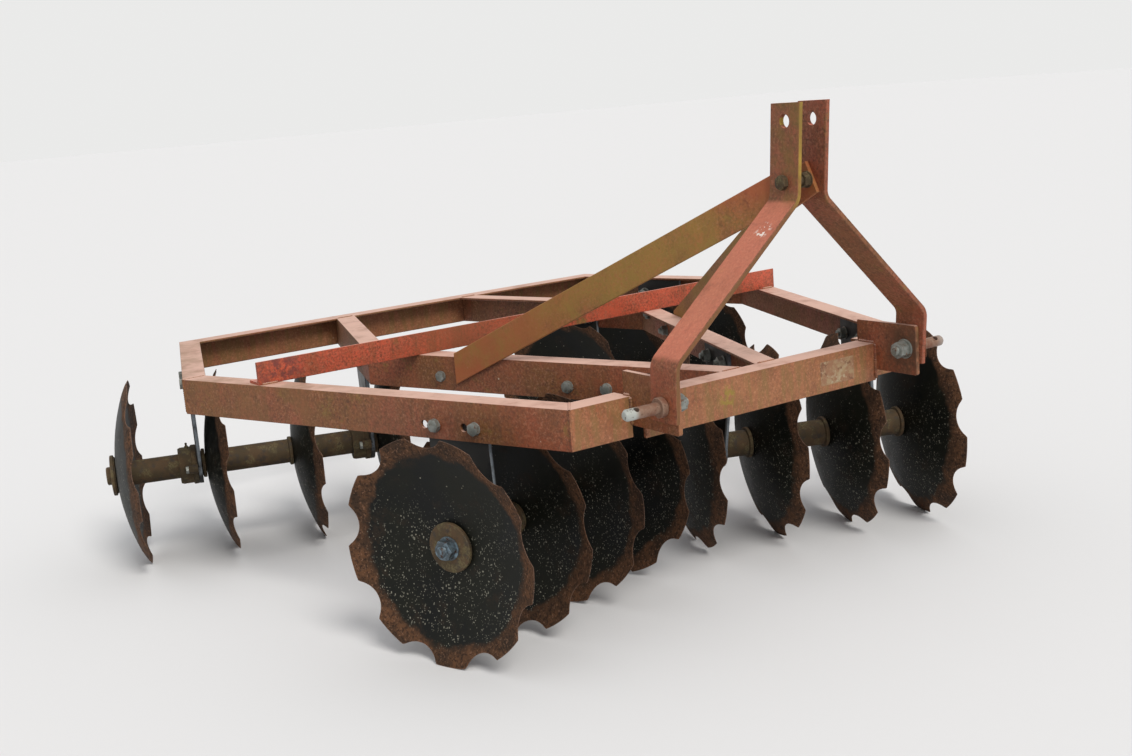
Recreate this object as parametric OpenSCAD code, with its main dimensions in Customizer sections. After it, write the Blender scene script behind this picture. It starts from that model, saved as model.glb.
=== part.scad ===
// Tandem disc harrow for a three-point hitch, with four gangs of notched discs
// X runs across, the hitch end faces -Y, Z is up, and the discs stand at Z = 0

/* [Frame] */
// Height of the frame's top faces above the ground
frame_top = 495; // [470:1:560]
// Height of the upright leg of the frame angles
leg_h = 80; // [70:1:90]
// Width of the level flange of the frame angles
flange_w = 52; // [45:1:60]
// Thickness of the frame angles
angle_t = 6.4; // [5:0.1:8]
// Half width across the front corners
front_half = 459; // [440:1:480]
// Half width across the outer knees, the widest part of the frame
knee_half = 841; // [820:1:860]
// Half width across the rear corners
rear_half = 661; // [640:1:680]
// Distance from the front corners back to the knees
front_run = 997; // [960:1:1030]
// Distance from the knees back to the rear beam
rear_run = 543; // [520:1:570]
// Distance by which the front corners sit behind the front beam's face
corner_back = 27; // [20:1:40]
// Half distance between the inner members at the front beam's face
inner_front_half = 53; // [45:1:60]
// Half distance between the inner members at the rear beam's face
inner_rear_half = 209; // [190:1:230]

/* [Cross angle] */
// Distance of the cross angle's face behind the front beam's face
cross_back = 790; // [740:1:820]
// Leg size of the cross angle
cross_leg = 51; // [45:1:60]

/* [Hitch] */
// Half distance between the inner faces of the pin plates
plate_half = 308; // [300:1:315]
// Thickness of the pin plates
plate_t = 10; // [8:0.5:12]
// Length of the pin plates
plate_len = 163; // [150:1:180]
// Height of the pin plates
plate_h = 104; // [95:1:112]
// Distance of the plates' front edges ahead of the front beam's face
plate_ahead = 113; // [105:1:120]
// Height of the pin plates' lower edges below the frame's top
plate_drop = 57; // [52:1:62]
// Radius of the lower hitch pins
pin_r = 11.1; // [11:0.05:11.2]
// Distance of the pins ahead of the front beam's face
pin_ahead = 84; // [80:1:90]
// Half distance between the pins' shoulders
shoulder_half = 341.5; // [340:0.5:343]
// Length of a pin outside its shoulder
pin_len = 75; // [70:1:85]

/* [Mast] */
// Width of the mast bars
bar_w = 76; // [70:1:80]
// Thickness of the mast bars
bar_t = 10; // [8:0.5:12]
// Half gap between the two uprights
clevis_half = 29; // [26:0.5:30]
// Height of the top link hole above the pins
mast_h = 488; // [460:1:500]
// Distance by which the top link hole leans ahead of the pins
mast_lean = 43; // [30:1:50]
// Radius of the top link hole
top_hole_r = 12.8; // [9.6:0.05:13]
// Height of the upper bends above the pins
bend_high = 343; // [330:1:350]
// Height of the lower bends above the pins
bend_low = 79; // [72:1:85]
// Width of the braces
brace_w = 64; // [56:1:68]
// Thickness of the braces
brace_t = 8; // [6:0.5:10]
// Distance of the brace's foot along the inner member
brace_reach = 737; // [700:1:760]
// Length of the brace's foot that lies on the inner member
brace_foot = 250; // [200:1:280]
// Height of the brace's upper bolt above the pins
brace_high = 376; // [365:1:385]
// Length of the brace ahead of its upper bolt
brace_tip = 10; // [8:1:14]

/* [Gangs] */
// Diameter of the discs over the teeth
disc_d = 457; // [440:1:460]
// Thickness of the discs
disc_t = 4; // [3.5:0.1:5]
// Depth of the discs' dish
dish = 52; // [45:1:56]
// Distance between discs along a front gang
disc_pitch = 190.5; // [185:0.5:195]
// Radius of the notches
notch_r = 56; // [50:1:60]
// Depth of the notches
notch_depth = 23; // [19:1:26]
// Distance of the front gangs' axles along the outer front members
front_axle = 242; // [235:1:265]
// Distance of the rear gangs' axles along the outer rear members
rear_axle = 284; // [275:1:290]
// Half distance between the inner discs of the two front gangs
front_inner_disc = 81; // [76:1:92]
// Gap between the rear hangers and the discs beside them
rear_clear = 10; // [8:0.5:14]
// Size of the square gang shafts
shaft_s = 25.4; // [24:0.1:26]
// Radius of the bearing journals
journal_r = 30; // [28:0.5:32]
// Outer radius of the bearing housings
housing_r = 49; // [46:1:52]
// Length of the bearing housings
housing_len = 44; // [40:1:46]
// Radius of the flanges at the ends of the spools
flange_r = 36; // [34:0.5:38]
// Thickness of the hanger plates
hanger_t = 10; // [8:0.5:12]
// Width of the hanger plates at the top
hanger_w = 150; // [140:1:160]
// Height of the hanger plates above their taper
hanger_neck = 85; // [75:1:95]
// Distance between the two bolts of a hanger
bolt_gap = 100; // [90:1:110]
// Distance of the spare bolt holes behind the bolts
spare_shift = 28; // [26:1:30]
// Radius of the spare bolt holes
spare_r = 8.5; // [8:0.5:9]
// Distance of the outer front hangers' bolts behind the axle
outer_shift = 34; // [10:1:38]
// Distance of the inner front hangers' bolts ahead of the axle
inner_shift = 31; // [24:1:48]

/* [Hidden] */
$fn = 48;

// Colours of the paint, the bare metal and the black parts
red_oxide = [0.42, 0.2, 0.15];
bright_red = [0.6, 0.24, 0.17];
black_steel = [0.07, 0.07, 0.08];
worn_steel = [0.45, 0.38, 0.34];
rusty_cast = [0.3, 0.2, 0.13];

// Plan of the frame in mm: half of the whole length lies behind the origin
lean = mast_lean / mast_h;
mast_end = 33;
ahead = pin_ahead + lean * (mast_h + mast_end) + bar_w / 2;
behind = corner_back + front_run + rear_run;
rear_y = (ahead + behind) / 2;
knee_y = rear_y - rear_run;
corner_y = knee_y - front_run;
beam_y = corner_y - corner_back;
pin_y = beam_y - pin_ahead;
pin_z = frame_top - 3;

function unit(v) = v / norm(v);
function perp(v) = [-v[1], v[0]];
// Point where the line from a along u meets the line from b along v
function meet(a, u, b, v) =
  a + u * ((v[1] * (b[0] - a[0]) - v[0] * (b[1] - a[1])) / (u[0] * v[1] - u[1] * v[0]));

// Corners of the right-hand half of the frame, on the outer faces
corner = [-front_half, corner_y];
knee = [-knee_half, knee_y];
tail = [-rear_half, rear_y];
inner_front = [-inner_front_half, beam_y];
inner_rear = [-inner_rear_half, rear_y];
along_front = unit(knee - corner);
along_rear = unit(tail - knee);
in_front = -perp(along_front);
in_rear = -perp(along_rear);
knot = meet(inner_front, along_front, inner_rear, along_rear);

// Angles of the gang axles, pointing outward from the machine
front_turn = atan2(-in_front[1], -in_front[0]);
rear_turn = atan2(-in_rear[1], -in_rear[0]);
axle_z = disc_d / 2;
front_gap = (knot - corner) * in_front;
rear_gap = (knot - knee) * in_rear;

// Offsets of the four discs of a gang along its axle, outermost first
front_spot = corner + along_front * front_axle;
rear_spot = knee + along_rear * rear_axle;
front_last = (front_inner_disc + front_spot[0]) / in_front[0];
front_discs = [for (i = [3:-1:0]) front_last + i * disc_pitch];
rear_discs = [for (i = [1:-1:-2]) i * rear_gap / 2 - angle_t - hanger_t - rear_clear];
// Turn of each disc's notches about its axle, so that they don't line up
disc_turns = [22, 15, 29, 5];
notch_count = 9;
boss_t = 6;
boss_r = 46;

// A bearing starts at one offset along the axle and grows by its length
front_seats = [
  -angle_t - hanger_t - housing_len,
  -front_gap - angle_t - hanger_t - housing_len
];
rear_seats = [-angle_t, -rear_gap - angle_t];

module upright(points, z0, z1) {
  translate([0, 0, z0]) linear_extrude(height = z1 - z0) polygon(points);
}

// Strip of width k inside the line from a to b, cut by the lines u and v at its ends
function strip(a, b, inward, k, u, v) =
  [a, b, meet(a + inward * k, b - a, b, v), meet(a + inward * k, b - a, a, u)];

// An angle along a to b with its upright leg outside and its flange inward
module frame_angle(a, b, inward, u, v) {
  upright(strip(a, b, inward, angle_t, u, v), frame_top - leg_h, frame_top);
  upright(strip(a, b, inward, flange_w, u, v), frame_top - angle_t, frame_top);
}

module left() {
  mirror([1, 0, 0]) children();
}

module front_beam() {
  color(red_oxide)
    frame_angle([-plate_half, beam_y], [plate_half, beam_y], [0, 1], [0, 1], [0, 1]);
}

module rear_beam() {
  mitre = (in_rear + [0, -1]);
  color(red_oxide)
    frame_angle(tail, [-tail[0], tail[1]], [0, -1], mitre, [-mitre[0], mitre[1]]);
}

module cross_angle() {
  face_y = beam_y + cross_back;
  start = meet(corner, along_front, [0, face_y], [1, 0]);
  color(bright_red) {
    translate([start[0], face_y, frame_top]) cube([-2 * start[0], 6, cross_leg]);
    translate([start[0], face_y, frame_top]) cube([-2 * start[0], cross_leg, 6]);
  }
}

module pin_plate() {
  color(red_oxide) difference() {
    translate([-plate_half - plate_t, beam_y - plate_ahead, frame_top - plate_drop])
      cube([plate_t, plate_len, plate_h]);
    translate([-plate_half - plate_t / 2, pin_y, pin_z]) rotate([0, 90, 0])
      cylinder(r = pin_r + 0.5, h = plate_t + 2, center = true);
  }
}

module front_corner() {
  mitre = in_front + [0, 1];
  color(red_oxide)
    frame_angle(corner, [-plate_half - plate_t, corner_y], [0, 1], mitre, [0, 1]);
}

// Two spare bolt holes in an upright leg, behind a hanger's bolts that centre on a place
hole_drop = 52;
module leg_holes(a, along, middle) {
  for (s = [middle - bolt_gap / 2 + spare_shift, middle + bolt_gap / 2 + spare_shift])
    translate([a[0] + along[0] * s, a[1] + along[1] * s, frame_top - hole_drop])
      rotate([0, 90, atan2(along[1], along[0]) - 90])
        cylinder(r = spare_r, h = 4 * angle_t, center = true);
}

module outer_front_angle() {
  start = in_front + [0, 1];
  color(red_oxide) difference() {
    frame_angle(corner, knee, in_front, start, in_front + in_rear);
    leg_holes(corner, along_front, front_axle + outer_shift);
  }
}

module outer_rear_angle() {
  color(red_oxide) difference() {
    frame_angle(knee, tail, in_rear, in_front + in_rear, in_rear + [0, -1]);
    leg_holes(knee, along_rear, rear_axle);
  }
}

module inner_front_angle() {
  under = meet(inner_front, along_front, [0, beam_y + angle_t], [1, 0]);
  clear = meet(inner_front, along_front, [0, beam_y + flange_w], [1, 0]);
  color(red_oxide) union() {
    upright(strip(under, knot, in_front, angle_t, [1, 0], in_front + in_rear),
      frame_top - leg_h, frame_top - angle_t);
    upright(strip(clear, knot, in_front, flange_w, [1, 0], in_front + in_rear),
      frame_top - angle_t, frame_top);
  }
}

module inner_rear_angle() {
  under = meet(inner_rear, along_rear, [0, rear_y - angle_t], [1, 0]);
  clear = meet(inner_rear, along_rear, [0, rear_y - flange_w], [1, 0]);
  color(red_oxide) union() {
    upright(strip(knot, under, in_rear, angle_t, in_front + in_rear, [1, 0]),
      frame_top - leg_h, frame_top - angle_t);
    upright(strip(knot, clear, in_rear, flange_w, in_front + in_rear, [1, 0]),
      frame_top - angle_t, frame_top);
  }
}

// The mast bar is a bent strip seen from the front, cut to a leaning strip seen from the side
bar_out = plate_half + plate_t;
bar_low = frame_top - 33;
bar_high = pin_z + mast_h + mast_end;
function mast_y(z) = pin_y - (z - pin_z) * lean;

module mast_bar() {
  outline = [
    [-bar_out - bar_t, bar_low], [-bar_out - bar_t, pin_z + bend_low + 3],
    [-clevis_half - bar_t, pin_z + bend_high + 3], [-clevis_half - bar_t, bar_high],
    [-clevis_half, bar_high], [-clevis_half, pin_z + bend_high - 2],
    [-bar_out, pin_z + bend_low - 2], [-bar_out, bar_low]
  ];
  side = [
    [mast_y(bar_low) - bar_w / 2, bar_low], [mast_y(bar_low) + bar_w / 2, bar_low],
    [mast_y(bar_high) + bar_w / 2, bar_high], [mast_y(bar_high) - bar_w / 2, bar_high]
  ];
  difference() {
    intersection() {
      translate([0, pin_y + bar_w, 0]) rotate([90, 0, 0])
        linear_extrude(height = 2 * bar_w + mast_lean * 2) polygon(outline);
      translate([-bar_out - 2 * bar_t, 0, 0]) rotate([90, 0, 90])
        linear_extrude(height = bar_out + 2 * bar_t) polygon(side);
    }
    translate([-bar_out - bar_t - 5, pin_y, pin_z]) rotate([0, 90, 0]) cylinder(r = pin_r + 0.5, h = bar_t + 10);
    translate([-clevis_half - bar_t - 5, mast_y(pin_z + mast_h), pin_z + mast_h])
      rotate([0, 90, 0]) cylinder(r = top_hole_r, h = bar_t + 10);
  }
}

// The bar is kept as two solids that meet above its upper bend
module mast_part(z0, z1) {
  color(bright_red) intersection() {
    mast_bar();
    translate([-bar_out - 2 * bar_t, pin_y - mast_h, z0]) cube([bar_out + 2 * bar_t, 2 * mast_h, z1 - z0]);
  }
}

module mast_leg() {
  mast_part(bar_low - 1, pin_z + bend_high + 3);
}

module mast_upright() {
  mast_part(pin_z + bend_high + 3, bar_high + 1);
}

// The brace lies flat on the upright's inner face, where its end is cut square to its own slope.
// It bends twice and ends flat on the inner member
brace_top_z = pin_z + brace_high;
brace_top_y = mast_y(brace_top_z);

module brace() {
  out = perp(along_front) * brace_t;
  tip_y = brace_top_y - brace_tip;
  foot = inner_front + along_front * brace_reach;
  heel = inner_front + along_front * (brace_reach - brace_foot);
  bend = [-clevis_half + brace_t, mast_y(brace_top_z - brace_w) + bar_w / 2 + 3];
  way = unit(heel - bend);
  side = bend + perp(way) * brace_t;
  plan = [
    [-clevis_half, tip_y - brace_w], [-clevis_half + brace_t, tip_y - brace_w], bend, heel, foot, foot + out,
    meet(side, way, foot + out, along_front), meet(side, way, [-clevis_half, 0], [0, 1])
  ];
  low_z = frame_top - 27;
  low_y = foot[1];
  rise = (brace_top_z - low_z) / (low_y - brace_top_y);
  half = brace_w / 2 * norm([1, rise]);
  square = unit([rise, 1]) * brace_w / 2;
  end_y = low_y + brace_w;
  function mid_z(y) = low_z + (low_y - y) * rise;
  band = [
    [tip_y, mid_z(tip_y)] - square, [tip_y, mid_z(tip_y)] + square,
    [end_y, mid_z(end_y) + half], [end_y, mid_z(end_y) - half]
  ];
  color(red_oxide) intersection() {
    translate([0, 0, low_z - 2 * brace_w]) linear_extrude(height = mast_h + 2 * brace_w) polygon(plan);
    translate([foot[0] - brace_w, 0, 0]) rotate([90, 0, 90]) linear_extrude(height = -foot[0] + brace_w) polygon(band);
  }
}

module hitch_pin() {
  tip = shoulder_half + pin_len;
  color(worn_steel) difference() {
    translate([0, pin_y, pin_z]) rotate([0, -90, 0]) union() {
      translate([0, 0, plate_half - 34]) cylinder(r = 9.5, h = 34);
      translate([0, 0, plate_half - 26]) cylinder(r = 17.5, h = 22, $fn = 6);
      translate([0, 0, plate_half - 4]) cylinder(r = 20.5, h = 4);
      translate([0, 0, plate_half - 1]) cylinder(r = pin_r, h = tip - plate_half + 1 - 5);
      translate([0, 0, tip - 5]) cylinder(r1 = pin_r, r2 = pin_r - 4, h = 5);
      translate([0, 0, bar_out + bar_t]) cylinder(r = 19, h = shoulder_half - bar_out - bar_t);
    }
    translate([-tip + 24, pin_y, pin_z]) rotate([35, 0, 0]) cylinder(r = 5.6, h = 60, center = true);
  }
}

// Places a gang's own axis on the machine, with +Z of the gang pointing outward
module at_front() {
  translate([front_spot[0], front_spot[1], axle_z]) rotate([0, 90, front_turn]) children();
}

module at_rear() {
  translate([rear_spot[0], rear_spot[1], axle_z]) rotate([0, 90, rear_turn]) children();
}

// In a gang's own axes X points down and Y forward, so a hanger grows toward -X
module hanger(z0, shift) {
  top = frame_top - axle_z - 12;
  half = hanger_w / 2;
  translate([0, 0, z0]) difference() {
    linear_extrude(height = hanger_t) union() {
      polygon([
        [-top, shift - half], [-top, shift + half], [-top + hanger_neck, shift + half],
        [0, housing_r - 3], [0, 3 - housing_r], [-top + hanger_neck, shift - half]
      ]);
      circle(r = housing_r);
    }
    translate([0, 0, -1]) cylinder(r = flange_r + 6, h = hanger_t + 2);
  }
}

module bearing(z0) {
  translate([0, 0, z0]) difference() {
    union() {
      cylinder(r = housing_r, h = housing_len);
      for (y = [-1, 1]) translate([0, y * (housing_r + 4), 0]) cylinder(r = 10, h = housing_len / 2);
    }
    translate([0, 0, -1]) cylinder(r = journal_r + 0.05, h = housing_len + 2);
  }
}

module hangers_front() {
  color(black_steel) at_front() {
    hanger(-angle_t - hanger_t, -outer_shift);
    hanger(-front_gap - angle_t - hanger_t, inner_shift);
  }
}

module hangers_rear() {
  color(black_steel) at_rear() {
    hanger(-angle_t - hanger_t, 0);
    hanger(-rear_gap - angle_t - hanger_t, 0);
  }
}

module bearings_front() {
  color(rusty_cast) at_front() for (z = front_seats) bearing(z);
}

module bearings_rear() {
  color(rusty_cast) at_rear() for (z = rear_seats) bearing(z);
}

// Shaft of a gang with a big washer at each end, a nut at one end and a head at the other
module gang_shaft(first, last, ends, nut_out) {
  s = shaft_s - 0.4;
  top = first + ends[0];
  low = last - ends[1];
  translate([-s / 2, -s / 2, low - 1]) cube([s, s, top - low + 2]);
  for (end = [[top, 0, nut_out], [low, 1, !nut_out]]) translate([0, 0, end[0]]) mirror([0, 0, end[1]]) {
    cylinder(r = 45, h = 4);
    translate([0, 0, 2]) cylinder(r = 50, h = 9);
    translate([0, 0, 11]) cylinder(r = 21, h = end[2] ? 20 : 12, $fn = 6);
    if (end[2]) translate([0, 0, 31]) cylinder(r = 11, h = 10);
  }
}

// One dished disc with its flat centre on the XY plane and its hollow toward +Z
module disc_blank(turn) {
  ball = (disc_d * disc_d / 4 + dish * dish) / (2 * dish);
  difference() {
    union() {
      rotate_extrude($fn = 120) intersection() {
        translate([0, ball]) difference() {
          circle(r = ball, $fn = 360);
          circle(r = ball - disc_t, $fn = 360);
        }
        square([disc_d / 2, dish + disc_t]);
      }
      cylinder(r = boss_r, h = boss_t);
    }
    for (i = [0:notch_count - 1]) rotate([0, 0, turn + i * 360 / notch_count]) translate([disc_d / 2 - notch_depth + notch_r, 0, -1])
      cylinder(r = notch_r, h = dish + 20);
    translate([-shaft_s / 2, -shaft_s / 2, -1]) cube([shaft_s, shaft_s, boss_t + 10]);
  }
}

module spool(z0, z1) {
  difference() {
    union() {
      translate([0, 0, z0]) cylinder(r = journal_r, h = z1 - z0);
      translate([0, 0, z0]) cylinder(r = flange_r, h = 9);
      translate([0, 0, z1 - 9]) cylinder(r = flange_r, h = 9);
    }
    translate([-shaft_s / 2, -shaft_s / 2, z0 - 1]) cube([shaft_s, shaft_s, z1 - z0 + 2]);
  }
}

module shaft_front() {
  color(rusty_cast) at_front() gang_shaft(front_discs[0], front_discs[3], [boss_t, 0], true);
}

module shaft_rear() {
  color(rusty_cast) at_rear() gang_shaft(rear_discs[0], rear_discs[3], [0, boss_t], false);
}

module spools_front() {
  color(rusty_cast) at_front() for (i = [0:2]) spool(front_discs[i + 1] + boss_t, front_discs[i]);
}

module spools_rear() {
  color(rusty_cast) at_rear() for (i = [0:2]) spool(rear_discs[i + 1], rear_discs[i] - boss_t);
}

module discs_front() {
  color(black_steel) at_front() for (i = [0:3])
    translate([0, 0, front_discs[i]]) disc_blank(disc_turns[i]);
}

module discs_rear() {
  color(black_steel) at_rear() for (i = [0:3])
    translate([0, 0, rear_discs[i]]) rotate([0, 180, 0]) disc_blank(disc_turns[i]);
}

front_beam();
rear_beam();
cross_angle();
pin_plate();  // pin_plate_right
left() pin_plate();  // pin_plate_left
front_corner();  // front_corner_right
left() front_corner();  // front_corner_left
outer_front_angle();  // outer_front_angle_right
left() outer_front_angle();  // outer_front_angle_left
outer_rear_angle();  // outer_rear_angle_right
left() outer_rear_angle();  // outer_rear_angle_left
inner_front_angle();  // inner_front_angle_right
left() inner_front_angle();  // inner_front_angle_left
inner_rear_angle();  // inner_rear_angle_right
left() inner_rear_angle();  // inner_rear_angle_left
mast_leg();  // mast_leg_right
left() mast_leg();  // mast_leg_left
mast_upright();  // mast_upright_right
left() mast_upright();  // mast_upright_left
brace();  // brace_right
left() brace();  // brace_left
hitch_pin();  // hitch_pin_right
left() hitch_pin();  // hitch_pin_left
hangers_front();  // hangers_front_right
left() hangers_front();  // hangers_front_left
hangers_rear();  // hangers_rear_right
left() hangers_rear();  // hangers_rear_left
bearings_front();  // bearings_front_right
left() bearings_front();  // bearings_front_left
bearings_rear();  // bearings_rear_right
left() bearings_rear();  // bearings_rear_left
shaft_front();  // shaft_front_right
left() shaft_front();  // shaft_front_left
shaft_rear();  // shaft_rear_right
left() shaft_rear();  // shaft_rear_left
spools_front();  // spools_front_right
left() spools_front();  // spools_front_left
spools_rear();  // spools_rear_right
left() spools_rear();  // spools_rear_left
discs_front();  // discs_front_right
left() discs_front();  // discs_front_left
discs_rear();  // discs_rear_right
left() discs_rear();  // discs_rear_left
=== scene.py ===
# %% [markdown]
# A tandem disc harrow for a three-point hitch: an angle-iron frame, an A-shaped mast and four
# gangs of notched discs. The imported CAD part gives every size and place, and this file gives the
# finish: rolled edges, bends, bolts, weld beads, chipped enamel, rust and dust. The sizes below
# repeat the part's own named values in millimetres, because a scene can't read the part's source.
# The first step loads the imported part, which stays where it is from then on.

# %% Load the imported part
import math
import random

import bpy
from mathutils import Matrix, Vector


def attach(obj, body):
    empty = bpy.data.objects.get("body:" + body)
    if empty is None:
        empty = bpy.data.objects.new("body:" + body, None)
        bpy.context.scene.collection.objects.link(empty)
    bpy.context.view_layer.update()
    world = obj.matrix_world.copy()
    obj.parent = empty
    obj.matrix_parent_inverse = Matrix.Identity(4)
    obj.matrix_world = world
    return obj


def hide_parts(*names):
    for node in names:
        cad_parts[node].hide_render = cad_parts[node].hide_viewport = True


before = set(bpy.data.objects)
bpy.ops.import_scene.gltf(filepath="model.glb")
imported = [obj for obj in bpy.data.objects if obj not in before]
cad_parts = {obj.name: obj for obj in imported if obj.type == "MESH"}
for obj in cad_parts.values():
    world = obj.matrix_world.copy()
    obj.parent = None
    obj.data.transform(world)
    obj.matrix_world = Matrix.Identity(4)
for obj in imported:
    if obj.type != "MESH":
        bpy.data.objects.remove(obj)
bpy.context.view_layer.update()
scene = bpy.context.scene
print("nodes:", len(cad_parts))

# %% [markdown]
# The frame is drawn in plan first. Each member runs along a line between two corners, and its
# ends are cut where neighbours meet. One function finds where two lines cross, and all the
# corners of the right-hand half follow from it. The left-hand half is a mirror image. Y is zero
# halfway between the mast's foremost point and the rear beam.

# %% Corners of the frame in plan, in millimetres
TOP = 495.0
LEG, FLANGE, THICK = 80.0, 52.0, 6.4
FRONT_HALF, KNEE_HALF, TAIL_HALF = 459.0, 841.0, 661.0
INNER_FRONT_HALF, INNER_REAR_HALF = 53.0, 209.0
CORNER_BACK, FRONT_RUN, REAR_RUN = 27.0, 997.0, 543.0
FRONT_AXLE_AT, REAR_AXLE_AT = 242.0, 284.0
BEAM_HALF, PLATE_THICK = 308.0, 10.0
PIN_AHEAD, PIN_BELOW = 84.0, 3.0
MAST_HIGH, MAST_LEAN, MAST_END, BAR_WIDE = 488.0, 43.0, 33.0, 76.0
ACROSS, DEPTH = Vector((1.0, 0.0)), Vector((0.0, 1.0))


def meet(a, along_a, b, along_b):
    """Point where the line through a meets the line through b."""
    cross = along_a.x * along_b.y - along_a.y * along_b.x
    reach = (along_b.y * (b.x - a.x) - along_b.x * (b.y - a.y)) / cross
    return a + along_a * reach


def quarter_turn(v):
    return Vector((-v.y, v.x))


lean = MAST_LEAN / MAST_HIGH
ahead = PIN_AHEAD + lean * (MAST_HIGH + MAST_END) + BAR_WIDE / 2
rear_y = (ahead + CORNER_BACK + FRONT_RUN + REAR_RUN) / 2
knee_y = rear_y - REAR_RUN
corner_y = knee_y - FRONT_RUN
beam_y = corner_y - CORNER_BACK
pin_y = beam_y - PIN_AHEAD
pin_z = TOP - PIN_BELOW
plate_out = BEAM_HALF + PLATE_THICK

corner = Vector((-FRONT_HALF, corner_y))
knee = Vector((-KNEE_HALF, knee_y))
tail = Vector((-TAIL_HALF, rear_y))
inner_front = Vector((-INNER_FRONT_HALF, beam_y))
inner_rear = Vector((-INNER_REAR_HALF, rear_y))
along_front = (knee - corner).normalized()
along_rear = (tail - knee).normalized()
in_front = -quarter_turn(along_front)
in_rear = -quarter_turn(along_rear)
knot = meet(inner_front, along_front, inner_rear, along_rear)
front_gap = (knot - corner).dot(in_front)
rear_gap = (knot - knee).dot(in_rear)
front_spot = corner + along_front * FRONT_AXLE_AT
rear_spot = knee + along_rear * REAR_AXLE_AT
print("gaps between members, mm:", round(front_gap, 1), round(rear_gap, 1))

# %% [markdown]
# Every solid here is a list of points and a list of faces in millimetres. Small helpers join
# such lists and turn them to a place, and tubes and bars share one way of making their faces.

# %% Helpers for lists of points and faces
MM = 0.001


def join(parts):
    points, faces = [], []
    for more_points, more_faces in parts:
        first = len(points)
        points += more_points
        faces += [[first + i for i in face] for face in more_faces]
    return points, faces


def moved(part, place):
    return [place @ Vector(p) for p in part[0]], part[1]


def raised(part, high, y=0):
    """Part moved up its own axis by high, and sideways by y."""
    return moved(part, Matrix.Translation((0, y, high)))


def facing(spot, way):
    """Place whose Z axis points along way."""
    turn = Vector(way).to_track_quat("Z", "Y").to_matrix().to_4x4()
    return Matrix.Translation(Vector(spot)) @ turn


def tube_faces(rings, size, closed=False):
    """Faces between rings of points, with both ends capped unless the rings close."""
    faces = []
    for r in range(rings if closed else rings - 1):
        low, high = r * size, (r + 1) % rings * size
        faces += [[low + i, low + (i + 1) % size, high + (i + 1) % size, high + i] for i in range(size)]
    if not closed:
        faces.append(list(range(size))[::-1])
        faces.append([(rings - 1) * size + i for i in range(size)])
    return faces


print("faces of a capped six-sided tube:", len(tube_faces(2, 6)))

# %% [markdown]
# Each list becomes a mesh, and then an object that rides on one body and has one finish. A piece
# whose name ends with a dot stands for the CAD node of that name, which is then hidden. Flat faces
# meet at sharp edges, and edges under 35 degrees shade as one curve, as on real steel.

# %% Helpers that turn lists of points into pieces
SHARP_FROM = math.radians(35)


def mesh_of(name, part):
    mesh = bpy.data.meshes.new(name)
    mesh.from_pydata([Vector(p) * MM for p in part[0]], [], part[1])
    return mesh


def dress(mesh, finish):
    mesh.polygons.foreach_set("use_smooth", [True] * len(mesh.polygons))
    mesh.set_sharp_from_angle(angle=SHARP_FROM)
    mesh.materials.clear()
    mesh.materials.append(finish)


def settle(name, mesh, body, stands_for):
    thing = bpy.data.objects.new(name, mesh)
    scene.collection.objects.link(thing)
    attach(thing, body)
    if stands_for or name.endswith("."):
        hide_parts(*(stands_for or [name[:-1]]))
    print(name, "with", len(mesh.vertices), "points")
    return thing


def piece(name, part, finish, body="frame", stands_for=()):
    mesh = mesh_of(name, part)
    mesh.validate()
    dress(mesh, finish)
    return settle(name, mesh, body, stands_for)


print("edges shade as a curve under, degrees:", round(math.degrees(SHARP_FROM)))

# %% [markdown]
# Holes are cut with one boolean a piece, as a drill press would, and the cut mesh is kept. The
# machine is alike on both sides, so a piece is made and bored once, on the right. Its mirror
# image changes the sign of X and turns the faces round, so that they look outward again.

# %% Helpers for holes and mirror images
DRILL_SIDES = 32


def bored(thing, holes):
    """Cut round holes, each given as a place, a radius and a length in millimetres."""
    drills = join([moved(lathe([(r, -n / 2), (r, n / 2)], DRILL_SIDES), place) for place, r, n in holes])
    drill = bpy.data.objects.new("drills", mesh_of("drills", drills))
    scene.collection.objects.link(drill)
    cut = thing.modifiers.new("holes", "BOOLEAN")
    cut.operation = "DIFFERENCE"
    cut.solver = "EXACT"
    cut.use_self = True
    cut.object = drill
    bpy.context.view_layer.update()
    ready = thing.evaluated_get(bpy.context.evaluated_depsgraph_get())
    fresh = bpy.data.meshes.new_from_object(ready)
    thing.modifiers.clear()
    thing.data = fresh
    bpy.data.objects.remove(drill)
    dress(fresh, fresh.materials[0])


def pair(name, part, finish, body="frame", stands_for=(), holes=()):
    """A right-hand piece, bored where it has holes, and its mirror image on the left."""
    right = piece(name, part, finish, body, stands_for)
    if holes:
        bored(right, holes)
    mesh = right.data.copy()
    mesh.transform(Matrix.Scale(-1, 4, (1, 0, 0)))
    mesh.flip_normals()
    name, body, *nodes = (word.replace("_right", "_left") for word in (name, body, *stands_for))
    return right, settle(name, mesh, body, nodes)


print("sides of a drilled hole:", DRILL_SIDES)

# %% [markdown]
# Turned parts are one outline swung about an axis, as on a lathe. A hexagon is nearly the same:
# its outline keeps six flats, and a 30 degree chamfer on its corners leaves the curved edges
# that a real nut or bolt head shows.

# %% Turned and hexagonal shapes
ROUND_STEPS, CHAMFER_FROM, PITCH = 48, 0.97, 2.0


def lathe(outline, steps=ROUND_STEPS):
    """Solid of revolution from (radius, height) pairs, about Z."""
    points = []
    for radius, high in outline:
        for i in range(steps):
            turn = 2 * math.pi * i / steps
            points.append(Vector((radius * math.cos(turn), radius * math.sin(turn), high)))
    return points, tube_faces(len(outline), steps)


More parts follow.
